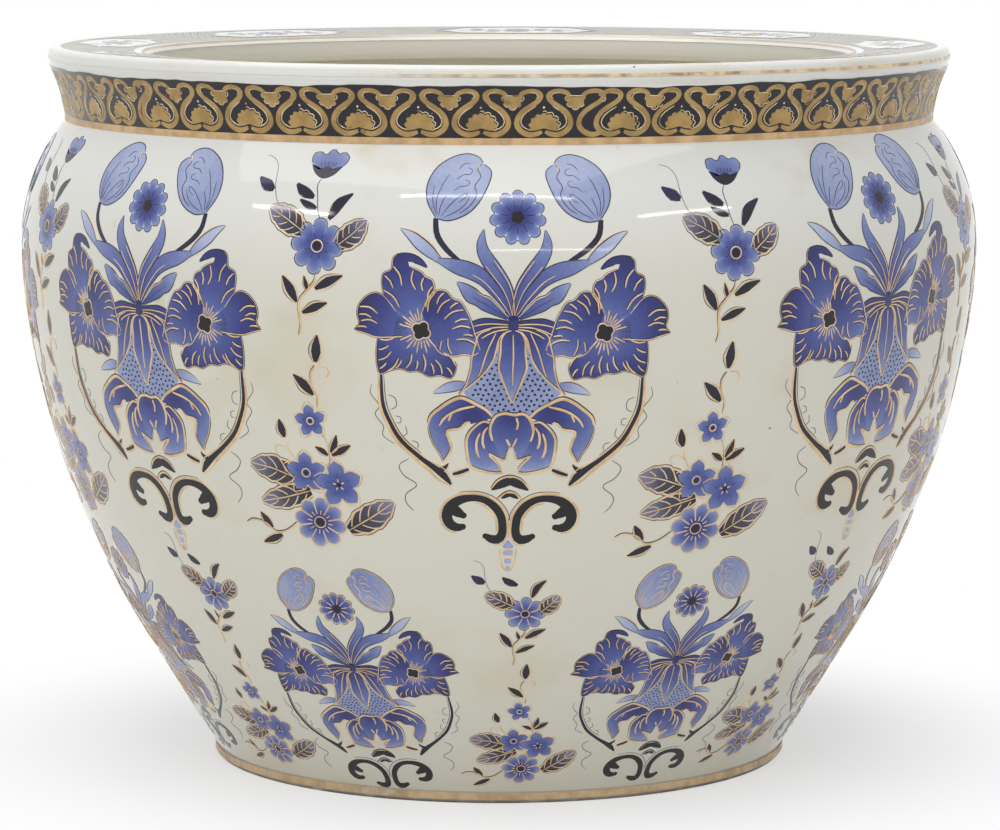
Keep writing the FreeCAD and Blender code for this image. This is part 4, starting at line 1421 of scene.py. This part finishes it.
class Nodes:
    """The nodes of a material or of the surroundings, all made in one way."""

    def __init__(self, owner):
        owner.use_nodes = True
        self.tree = owner.node_tree

    def node(self, kind, settings, inputs):
        """A node of the kind, with its settings made first and then its sockets filled or linked."""
        node = self.tree.nodes.new(kind)
        for name, setting in settings.items():
            if name == "stops":
                self.set_stops(node.color_ramp, setting)
            else:
                setattr(node, name, setting)
        for socket, given in inputs.items():
            self.feed(node.inputs[socket], given)
        return node

    def set_stops(self, ramp, stops):
        """Puts a ramp's stops at their places, with their colours."""
        while len(ramp.elements) < len(stops):
            ramp.elements.new(1.0)
        for element, (place, colour) in zip(ramp.elements, stops):
            element.position = place
            element.color = colour

    def feed(self, socket, given):
        """Links a value to a socket, or writes a number there."""
        if isinstance(given, Value):
            self.tree.links.new(given.socket, socket)
        else:
            socket.default_value = given

    def value(self, kind, settings, inputs, output=0):
        """Value of one output of a new node."""
        return Value(self, self.node(kind, settings, inputs).outputs[output])

    def standing(self, kind):
        """The node of a kind that was there from the start."""
        return next(node for node in self.tree.nodes if node.type == kind)

    def seen(self):
        """1 for the rays that find the floor and the surroundings white, the greatest of what they say."""
        path = self.node("ShaderNodeLightPath", {}, {})
        first, *others = (Value(self, path.outputs[ray]) for ray in SEEN_RAYS)
        for other in others:
            first = first.highest(other)
        return first


class Finish(Nodes):
    """A material with one Principled shader, and the short ways to the nodes that feed it."""

    def __init__(self, name, constants=None):
        self.material = bpy.data.materials.new(name)
        super().__init__(self.material)
        self.shader = self.standing("BSDF_PRINCIPLED")
        for socket, number in (constants or {}).items():
            self.give(socket, number)

    def give(self, socket, given):
        """Feeds a socket of the shader."""
        self.feed(self.shader.inputs[socket], given)

    def place(self):
        """Place on the bowl, in metres."""
        return self.value("ShaderNodeTexCoord", {}, {}, "Object")

    def height(self):
        """Height over the floor, in metres."""
        return self.value("ShaderNodeSeparateXYZ", {}, {0: self.place()}, 2)

    def radius(self):
        """Distance from the bowl's axis, in metres: the length of the place without its height."""
        inputs = {0: self.place(), 1: (1.0, 1.0, 0.0)}
        flat = self.value("ShaderNodeVectorMath", {"operation": "MULTIPLY"}, inputs)
        return self.value("ShaderNodeVectorMath", {"operation": "LENGTH"}, {0: flat}, "Value")

    def on_map(self, name):
        """Place across and up one of the piece's own maps."""
        spot = self.value("ShaderNodeUVMap", {"uv_map": name}, {})
        parts = self.node("ShaderNodeSeparateXYZ", {}, {0: spot})
        return Value(self, parts.outputs[0]), Value(self, parts.outputs[1])

    def tone(self):
        """Tone that the painter gave this point."""
        return self.value("ShaderNodeAttribute", {"attribute_name": "tone"}, {}, "Fac")

    def cloud(self, size, detail=3.0, shift=0.0):
        """Noise whose lumps are about as wide as the size, in millimetres."""
        inputs = {"Vector": self.place(), "Scale": 1 / (size * MILLIMETRE), "Detail": detail}
        if shift:
            shifted = {"Vector": self.place(), "Location": (shift, shift, -shift)}
            inputs["Vector"] = self.value("ShaderNodeMapping", {}, shifted)
        return self.value("ShaderNodeTexNoise", {}, inputs, "Fac")

    def between(self, value, low, high):
        """Smooth rise from 0 where the value is low to 1 where it is high."""
        inputs = {"Value": value, "From Min": low, "From Max": high}
        return self.value("ShaderNodeMapRange", {"interpolation_type": "SMOOTHSTEP"}, inputs)

    def blend(self, share, first, second):
        """Colour between two colours."""
        return self.value("ShaderNodeMix", {"data_type": "RGBA"}, {0: share, 6: first, 7: second}, 2)

    def ramp(self, share, stops):
        """Colour along a row of stops."""
        return self.value("ShaderNodeValToRGB", {"stops": stops}, {"Fac": share}, "Color")

    def near_whole(self, value):
        """1 where a value is near a whole number, falling to 0 beside it."""
        gap = self.value("ShaderNodeMath", {"operation": "PINGPONG"}, {0: value, 1: 0.5})
        return self.between(gap, 0.15, 0.09)

    def bump(self, height, strength, depth):
        """Unevenness: a height from 0 to 1 over a depth in millimetres."""
        inputs = {"Strength": strength, "Distance": depth * MILLIMETRE, "Height": height}
        self.give("Normal", self.value("ShaderNodeBump", {}, inputs))

    def glazed(self, colour, roughness):
        """The material of what lies under the glaze, with the same slow unevenness on everything."""
        self.give("Base Color", colour)
        self.give("Roughness", roughness)
        self.bump(self.cloud(22, 1.0) * 0.7 + self.cloud(5, 2.0) * 0.3, 0.5, 0.08)
        return self.material


def glaze_finish(inside_share):
    """Warm white glaze: greener low down, yellowed in clouds, with brown stains up high and black specks.

    The bowl's own map runs up the outside and down the inside, which has fewer stains and is painted whiter
    as painted light against its shade, above the given share.
    """
    finish = Finish("glaze", GLAZED)
    along = finish.on_map(BAKE_MAP)[1]
    inside = finish.between(along, inside_share - INSIDE_BLUR, inside_share + INSIDE_BLUR)
    height = finish.height()
    colour = finish.blend(finish.cloud(140, 2.0), GLAZE_WHITE, GLAZE_CREAM)
    colour = finish.blend(finish.between(height, *GREEN_HEIGHTS) * 0.7, colour, GLAZE_GREEN)
    # Painted reflection: the shoulder turns a more neutral white, as the white ceiling's reflection would
    # make it.
    colour = finish.blend(finish.between(height, *SHOULDER_SHEEN_HEIGHTS) * 0.8, colour, SHOULDER_PAINTED_SHEEN)
    # The lip turns whiter: white glaze, partly painted highlight of the top.
    colour = finish.blend(finish.between(height, *LIP_HIGHLIGHT_HEIGHTS), colour, RIM_WHITE_WITH_HIGHLIGHT)
    high = finish.between(height, *STAIN_RISE) * finish.between(height, *STAIN_FALL)
    patches = finish.between(finish.cloud(55, 4.0, 0.31), 0.56, 0.74) * (0.25 + high * 0.4)
    spots = finish.between(finish.cloud(11, 3.0, 0.83), 0.68, 0.8) * 0.5
    stain = patches.highest(spots) * (1 - inside * 0.7)
    # Painted light: the inside takes a whiter glaze than the outside, standing in for light in its shade.
    colour = finish.blend(stain, finish.blend(inside, colour, INSIDE_PAINTED_LIGHT), GLAZE_STAIN)
    grain = finish.node("ShaderNodeTexVoronoi", {}, {"Vector": finish.place(), "Scale": SPECK_GRAIN})
    near = finish.between(Value(finish, grain.outputs["Distance"]), 0.035, 0.02)
    chance = finish.value("ShaderNodeSeparateColor", {}, {0: Value(finish, grain.outputs["Color"])})
    colour = finish.blend(near * finish.between(chance, 0.8, 0.84) * 0.75, colour, SPECK)
    return finish.glazed(colour, 0.03 + finish.cloud(35) * 0.05 + stain * 0.1)


def biscuit_finish():
    """Bare foot: rough grey cream clay with grit, dark where the floor has rubbed it."""
    finish = Finish("bare_clay")
    colour = finish.blend(finish.cloud(14, 4.0), BISCUIT_PALE, BISCUIT_GREY)
    grime = finish.between(finish.height(), *GRIME_HEIGHTS) * finish.between(finish.cloud(9), 0.3, 0.6)
    finish.give("Base Color", finish.blend(grime * 0.8, colour, GRIME))
    finish.give("Roughness", 0.65 + finish.cloud(3) * 0.3)
    finish.bump(finish.cloud(1.4), 0.6, 0.15)
    return finish.material


def enamel_finish():
    """Cobalt enamel: the painter's tone picks the colour, with the fine mottle of the print."""
    finish = Finish("cobalt_enamel", GLAZED)
    mottle = (finish.cloud(1.6, 2.0) - 0.5) * 0.09 + (finish.cloud(9, 2.0) - 0.5) * 0.1
    colour = finish.ramp(finish.tone() + mottle * finish.between(finish.tone(), 1.0, 0.8), COBALT_STOPS)
    return finish.glazed(colour, 0.05 + finish.cloud(18) * 0.06)


def white_finish():
    """White of the rim's reserves: glaze that was left bare between the pattern."""
    finish = Finish("white_glaze", GLAZED)
    # The reserves take the rim's whiter glaze, which is partly painted highlight.
    colour = finish.blend(finish.cloud(14), RIM_WHITE_WITH_HIGHLIGHT, GLAZE_WHITE)
    return finish.glazed(colour, 0.06 + finish.cloud(18) * 0.08)


def ink_finish():
    """Printed lines and grey leaves: the painter's tone picks the colour from near black to grey."""
    finish = Finish("ink", GLAZED)
    colour = finish.ramp(finish.tone() + (finish.cloud(4) - 0.5) * 0.25, INK_STOPS)
    return finish.glazed(colour, 0.06 + finish.cloud(18) * 0.08)


def gilt_finish(name, bright, dull, bare, wear):
    """Fired gold: bright and dull in clouds, and rubbed through to the bare ground where the wear is high."""
    finish = Finish(name)
    colour = finish.blend(finish.between(finish.cloud(7), 0.35, 0.65), bright, dull)
    worn = finish.between(finish.cloud(3.2, 4.0, 0.47) * 0.6 + finish.cloud(16, 2.0, 0.2) * 0.4, *wear)
    finish.give("Base Color", finish.blend(worn, colour, bare))
    finish.give("Metallic", GILT_METAL - worn * GILT_METAL * 0.8)
    finish.give("Roughness", 0.3 + finish.cloud(2.5) * 0.16)
    finish.bump(finish.cloud(0.9, 2.0), 0.35, 0.06)
    return finish.material


def lip_gold_finish():
    """Gold line of the lip: rubbed away to the glaze on one side, brown and bright in turn on the other."""
    finish = Finish("lip_gold")
    across = finish.value("ShaderNodeSeparateXYZ", {}, {0: finish.place()}, 0)
    kept = finish.between(across + (finish.cloud(70, 4.0) - 0.5) * 0.24, -0.07, 0.06)
    colour = finish.blend(finish.between(finish.cloud(5, 4.0), 0.35, 0.65), GOLD, GOLD_BROWN)
    finish.give("Base Color", finish.blend(kept * 0.9, RIM_WHITE_WITH_HIGHLIGHT, colour))
    finish.give("Metallic", kept * 0.5)
    finish.give("Roughness", 0.16 + finish.cloud(2.5) * 0.14)
    return finish.material


def mouth_gold_finish():
    """Gold of the mouth's edge: all rubbed away but a thin brown line at its middle."""
    finish = Finish("mouth_gold", GLAZED)
    away = finish.radius() - MOUTH_LINE * MILLIMETRE
    gap = finish.value("ShaderNodeMath", {"operation": "ABSOLUTE"}, {0: away})
    line = finish.between(gap + (finish.cloud(9) - 0.5) * 0.0006, 0.0006, 0.0003)
    colour = finish.blend(finish.cloud(20, 2.0), GOLD_BROWN, GOLD_DULL)
    finish.give("Base Color", finish.blend(line * 0.7, RIM_WHITE_WITH_HIGHLIGHT, colour))
    finish.give("Metallic", line * 0.3)
    finish.give("Roughness", 0.1 + line * 0.2)
    return finish.material


def navy_finish():
    """Dark ground of the neck band: nearly black blue in clouds, chipped and with an uneven upper edge."""
    finish = Finish("navy_enamel", GLAZED)
    colour = finish.blend(finish.cloud(20), NAVY_DARK, NAVY_PALE)
    chips = finish.between(finish.cloud(2.0, 3.0, 0.6), 0.72, 0.78) * 0.5
    edge = finish.between(finish.height() + (finish.cloud(45, 3.0, 0.9) - 0.5) * 0.006, *BAND_TOP)
    colour = finish.blend(edge, finish.blend(chips, colour, NAVY_CHIP), RIM_WHITE_WITH_HIGHLIGHT)
    return finish.glazed(colour, 0.08 + finish.cloud(12) * 0.1)


def lattice_finish():
    """Ground of the rim: crossing slanted lines and a dot in every diamond, over grey-green.

    Across and up the map, in periods of the lattice, a line is where the sum or the difference is near a
    whole number.
    """
    finish = Finish("rim_lattice", GLAZED)
    across, up = finish.on_map(LATTICE_MAP)
    lines = finish.near_whole(across + up).highest(finish.near_whole(across - up))
    middle = finish.near_whole(across + up + 0.5) * finish.near_whole(across - up + 0.5)
    ground = finish.blend(finish.cloud(12), LATTICE_PALE, LATTICE_GREEN)
    colour = finish.blend(lines * (0.55 + finish.cloud(6, 2.0) * 0.5), ground, LATTICE_LINE)
    return finish.glazed(finish.blend(middle, colour, LATTICE_DOT), 0.16 + finish.cloud(10) * 0.1)


def rim_ground(finish):
    """Patterned ground of the rim: a film ring over the dished face, its edges sunk into the glaze.

    The lattice's own map counts its periods round the rim and across it.
    """
    azimuth = np.linspace(0, FULL_TURN, TURN_STEPS, endpoint=False)
    inner_rows = np.linspace(RIM_ARC[0] + RIM_EDGE, RIM_ARC[1] - RIM_EDGE, RIM_ROWS)
    arc = np.concatenate([[RIM_ARC[0]], inner_rows, [RIM_ARC[1]]])
    lift = np.full((len(arc), TURN_STEPS), FILM_LIFT)
    lift[[0, -1]] = EDGE_SINK
    around_rim, across_rim = np.meshgrid(azimuth, arc)
    across, up = np.meshgrid(np.linspace(0, 1, TURN_STEPS + 1), (arc - arc[0]) / (arc[-1] - arc[0]))
    spots = grid_spots(across, up).reshape(-1, 2)
    vertices = skin.place(around_rim, across_rim, lift).reshape(-1, 3)
    normals = skin.facing(around_rim, across_rim).reshape(-1, 3)
    corners = around(numbered(*lift.shape))
    sizes = np.full(len(corners), 4)
    piece = new_piece("rim_lattice", vertices, corners.ravel(), sizes, finish, spots, None, normals)
    write_map(piece.data, LATTICE_MAP, spots * np.array([LATTICE_PERIODS, LATTICE_ROWS]))
    return piece


def ring_of(azimuths, heights, leans, scale):
    """Places of one ring of motifs, each leaning a little its own way."""
    return [
        (np.radians(azimuth), skin.arc_at(height), scale, np.radians(lean))
        for azimuth, height, lean in zip(azimuths, heights, leans)
    ]


# Run of the rim's pattern along the outline, its rows, and the width in which its edge goes into the glaze.
RIM_ARC = skin.arc[np.argmax(skin.height)] + 2.6, skin.arc[-1] - 6.4
RIM_MIDDLE = sum(RIM_ARC) / 2
RIM_ROWS = 7
RIM_EDGE = 0.3
# Reserves round the rim, and the azimuth of the first in degrees.
RESERVES = 9
FIRST_RESERVE = 177.2
# Greatest shift of the light lines of a neck strip: aside in degrees and upward in millimetres.
STRIP_ASIDE = 0.18
STRIP_UPWARD = 0.35

bare_clay = biscuit_finish()
cobalt = enamel_finish()
ink = ink_finish()
white = white_finish()
line_gold = gilt_finish("line_gold", GOLD, GOLD_DULL, GOLD_BARE, (0.6, 0.72))
neck_gold = gilt_finish("neck_gold", NECK_GOLD, NECK_DULL, GOLD_BARE, (0.55, 0.7))
foot_gold = gilt_finish("foot_gold", FOOT_GOLD, FOOT_DULL, FOOT_BARE, (0.56, 0.66))
ochre_gold = gilt_finish("ochre_gold", OCHRE, OCHRE_DULL, OCHRE_BARE, (0.6, 0.72))
light_gold = gilt_finish("light_gold", LIGHT_GOLD, LIGHT_DULL, OCHRE_DULL, (0.54, 0.62))
lip_gold = lip_gold_finish()
mouth_gold = mouth_gold_finish()
navy = navy_finish()
lattice = lattice_finish()

# The bowl itself: glazed outside and inside in one closed piece with its bare foot.
outside = outside_outline(PROFILE_STEP)
inside = inside_outline(INSIDE_STEP)
foot = foot_outline(PROFILE_STEP)
bowl_outline = np.vstack([outside, inside[1:]])
glaze = glaze_finish(length_of(outside) / length_of(bowl_outline))
bowl = turned("glazed_bowl", bowl_outline, glaze, np.arange(len(bowl_outline)) < len(outside))
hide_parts("lower_wall", "upper_wall", "neck_collar", "rim_flange", "floor_disc")
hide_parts("floor_slip", "belly_slip", "neck_slip", "rim_slip")
bare_foot = turned("bare_foot", foot, bare_clay, np.zeros(len(foot), bool))
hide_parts("foot_ring", "foot_slip")

# Painted rings, from the photographed side round to the back: azimuths, heights and leans.
upper_bouquets = ring_of(
    (-44.9, 1.58, 50.2, 94.5, 138.7, 183.0, 227.2, 271.5),
    (206.1, 206.1, 208.2, 204.0, 205.5, 203.6, 205.0, 204.2),
    (-0.8, -0.8, 2.9, 1.0, -0.6, 0.0, 0.7, -1.0), 1.0)
upper_sprays = ring_of(
    (-20.4, 27.05, 72.3, 116.6, 160.8, 205.1, 249.3, 293.6),
    (233.9, 230.5, 232.4, 233.0, 231.6, 232.8, 231.5, 232.6),
    (0.5, 0.2, -0.8, 1.0, -0.6, 0.0, 0.7, -1.0), 1.0)
lower_bouquets = ring_of(
    (-67.5, -22.1, 26.8, 72.0, 116.3, 160.6, 204.9, 249.2),
    (65.0, 61.0, 63.4, 66.0, 60.6, 59.6, 60.4, 59.8),
    (0.5, 3.2, 2.2, 1.0, -0.6, 0.0, 0.7, -1.0), 0.71)
lower_sprays = ring_of(
    (-42.6, 3.47, 51.2, 94.2, 138.4, 182.8, 227.0, 271.4),
    (87.2, 86.4, 89.0, 86.6, 86.2, 86.8, 86.0, 86.4),
    (0.5, 4.4, 0.6, 1.0, -0.6, 0.0, 0.7, -1.0), 0.72)
reserve = rim_reserve()
reserve_azimuths = FIRST_RESERVE + 360 / RESERVES * np.arange(RESERVES)
reserve_places = [(azimuth, RIM_MIDDLE, 1.0, 0.0) for azimuth in np.radians(reserve_azimuths)]
for ring_name, coats, places in (
    ("upper_bouquets", bouquet("ink"), upper_bouquets),
    ("upper_sprays", spray(True, (0.1, 0.9)), upper_sprays),
    ("lower_bouquets", bouquet("gilt"), lower_bouquets),
    ("lower_sprays", spray(False, (0.02, 0.95)), lower_sprays),
    ("rim_reserves", reserve, reserve_places),
):
    painted(ring_name + "_enamel", coats, "enamel", places, cobalt)
    painted(ring_name + "_ink", coats, "ink", places, ink)
    painted(ring_name + "_gilt", coats, "gilt", places, line_gold)

painted("rim_reserves_white", reserve, "white", reserve_places, white)

# Neck band: scrolls on the dark enamel, and their light lines, which lie a little out of place on each strip.
neck_foot = skin.arc_at(FLARE_START[1])
neck_places = []
line_places = []
seam_places = []
for strip, (first, count, step) in enumerate(NECK_STRIPS):
    aside = STRIP_ASIDE * np.sin(2.2 * strip)
    upward = STRIP_UPWARD * np.cos(1.7 * strip)
    for azimuth in first + step * np.arange(count):
        neck_places.append((np.radians(azimuth), neck_foot, 1.0, 0.0))
        line_places.append((np.radians(azimuth + aside), neck_foot + upward, 1.0, 0.0))
    seam_places.append((np.radians(first + step * count), neck_foot, 1.0, 0.0))
unit = neck_unit()
painted("neck_scrolls", unit, "ochre", neck_places, ochre_gold, COAT)
painted("neck_lines", unit, "light", line_places, light_gold, COAT)
painted("neck_seams", neck_scroll(), "ochre", seam_places, ochre_gold, COAT - FILM_STEP)
rim_ground(lattice)

# Coats that keep their solids take only a finish.
for node, finish in (
    ("foot_gilt", foot_gold), ("neck_gilt", neck_gold), ("rim_gilt", lip_gold), ("mouth_gilt", mouth_gold),
    ("neck_enamel", navy),
):
    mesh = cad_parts[node].data
    mesh.materials.clear()
    mesh.materials.append(finish)


def floor_finish():
    """White floor: it keeps the bowl's shadow near the foot, and further off looks plain white."""
    finish = Finish("floor", {"Roughness": 0.9, "Base Color": (0.9, 0.9, 0.9, 1.0)})
    glow = finish.value("ShaderNodeEmission", {}, {"Color": WHITE_LIGHT, "Strength": 1.0})
    share = FLOOR_WHITE + finish.between(finish.radius(), *SHADOW_REACH) * (1 - FLOOR_WHITE)
    inputs = {0: finish.seen() * share, 1: Value(finish, finish.shader.outputs[0]), 2: glow}
    mix = finish.value("ShaderNodeMixShader", {}, inputs)
    finish.feed(finish.standing("OUTPUT_MATERIAL").inputs["Surface"], mix)
    return finish.material


def lay_floor():
    """Flat square floor under the foot, much wider than the view."""
    corners = [(-FLOOR_REACH, -FLOOR_REACH, 0.0), (FLOOR_REACH, -FLOOR_REACH, 0.0),
               (FLOOR_REACH, FLOOR_REACH, 0.0), (-FLOOR_REACH, FLOOR_REACH, 0.0)]
    mesh = bpy.data.meshes.new("floor")
    mesh.from_pydata(corners, [], [(0, 1, 2, 3)])
    mesh.materials.append(floor_finish())
    floor = bpy.data.objects.new("floor", mesh)
    bpy.context.scene.collection.objects.link(floor)


def light_world():
    """Even grey surroundings for the light, white for the camera, mirrors and glass."""
    world = bpy.data.worlds.new("surroundings")
    bpy.context.scene.world = world
    nodes = Nodes(world)
    dim = nodes.standing("BACKGROUND")
    nodes.feed(dim.inputs["Color"], WHITE_LIGHT)
    nodes.feed(dim.inputs["Strength"], SURROUNDING_LIGHT)
    white = nodes.value("ShaderNodeBackground", {}, {"Color": WHITE_LIGHT, "Strength": 1.0})
    inputs = {0: nodes.seen(), 1: Value(nodes, dim.outputs[0]), 2: white}
    mix = nodes.value("ShaderNodeMixShader", {}, inputs)
    nodes.feed(nodes.standing("OUTPUT_WORLD").inputs["Surface"], mix)


def hang_lamp(name, place, wide, long, power):
    """Rectangular lamp at a place, turned so that it faces the middle of the bowl."""
    lamp = bpy.data.lights.new(name, "AREA")
    lamp.shape = "RECTANGLE"
    lamp.size = wide
    lamp.size_y = long
    lamp.energy = power
    hung = bpy.data.objects.new(name, lamp)
    hung.location = place
    way = Vector(BOWL_MIDDLE) - Vector(place)
    hung.rotation_euler = way.to_track_quat("-Z", "Y").to_euler()
    bpy.context.scene.collection.objects.link(hung)


def set_camera():
    """Camera of the photograph: level across, looking slightly down at the bowl."""
    lens = bpy.data.cameras.new("camera")
    lens.sensor_width = SENSOR_WIDTH
    lens.lens = CAMERA_FOCUS / IMAGE_WIDTH * lens.sensor_width
    lens.shift_x = CAMERA_SHIFT
    camera = bpy.data.objects.new("camera", lens)
    camera.location = CAMERA_PLACE
    camera.rotation_euler = (np.pi / 2 - CAMERA_DIP, 0.0, 0.0)
    bpy.context.scene.collection.objects.link(camera)
    bpy.context.scene.camera = camera


# Camera: the image's width and the focus in pixels, the sensor in millimetres, the place in metres.
IMAGE_WIDTH = 1000
CAMERA_FOCUS = 4523.0
SENSOR_WIDTH = 36.0
CAMERA_PLACE = (0.0, -1.931, 0.388)
CAMERA_DIP = 0.1256
CAMERA_SHIFT = 0.001
# Light: the strength of the surroundings, and the point in metres that every lamp faces.
WHITE_LIGHT = (1.0, 1.0, 1.0, 1.0)
SURROUNDING_LIGHT = 0.3
BOWL_MIDDLE = (0.0, 0.0, 0.18)
# Floor: half its width and the radii between which it turns white in metres, and how white it is at the foot.
FLOOR_REACH = 6.0
SHADOW_REACH = (0.13, 0.3)
FLOOR_WHITE = 0.55
# Rays that find the floor and the surroundings white.
SEEN_RAYS = ("Is Camera Ray", "Is Glossy Ray", "Is Transmission Ray")

lay_floor()
light_world()
hang_lamp("ceiling", (-0.4, -0.6, 2.6), 3.4, 2.8, 52.0)
# Thin tubes whose mirror images are the streaks on the shoulder.
hang_lamp("high_tube", (-0.1, -1.78, 1.78), 1.5, 0.05, 4.2)
hang_lamp("low_tube", (0.5, -2.36, 0.72), 1.2, 0.03, 1.4)
hang_lamp("left_tube", (-1.65, -1.3, 1.35), 0.8, 0.06, 2.8)
hang_lamp("right_tube", (1.5, -1.45, 1.3), 0.9, 0.05, 2.4)
set_camera()
bpy.context.scene.view_settings.view_transform = "Standard"
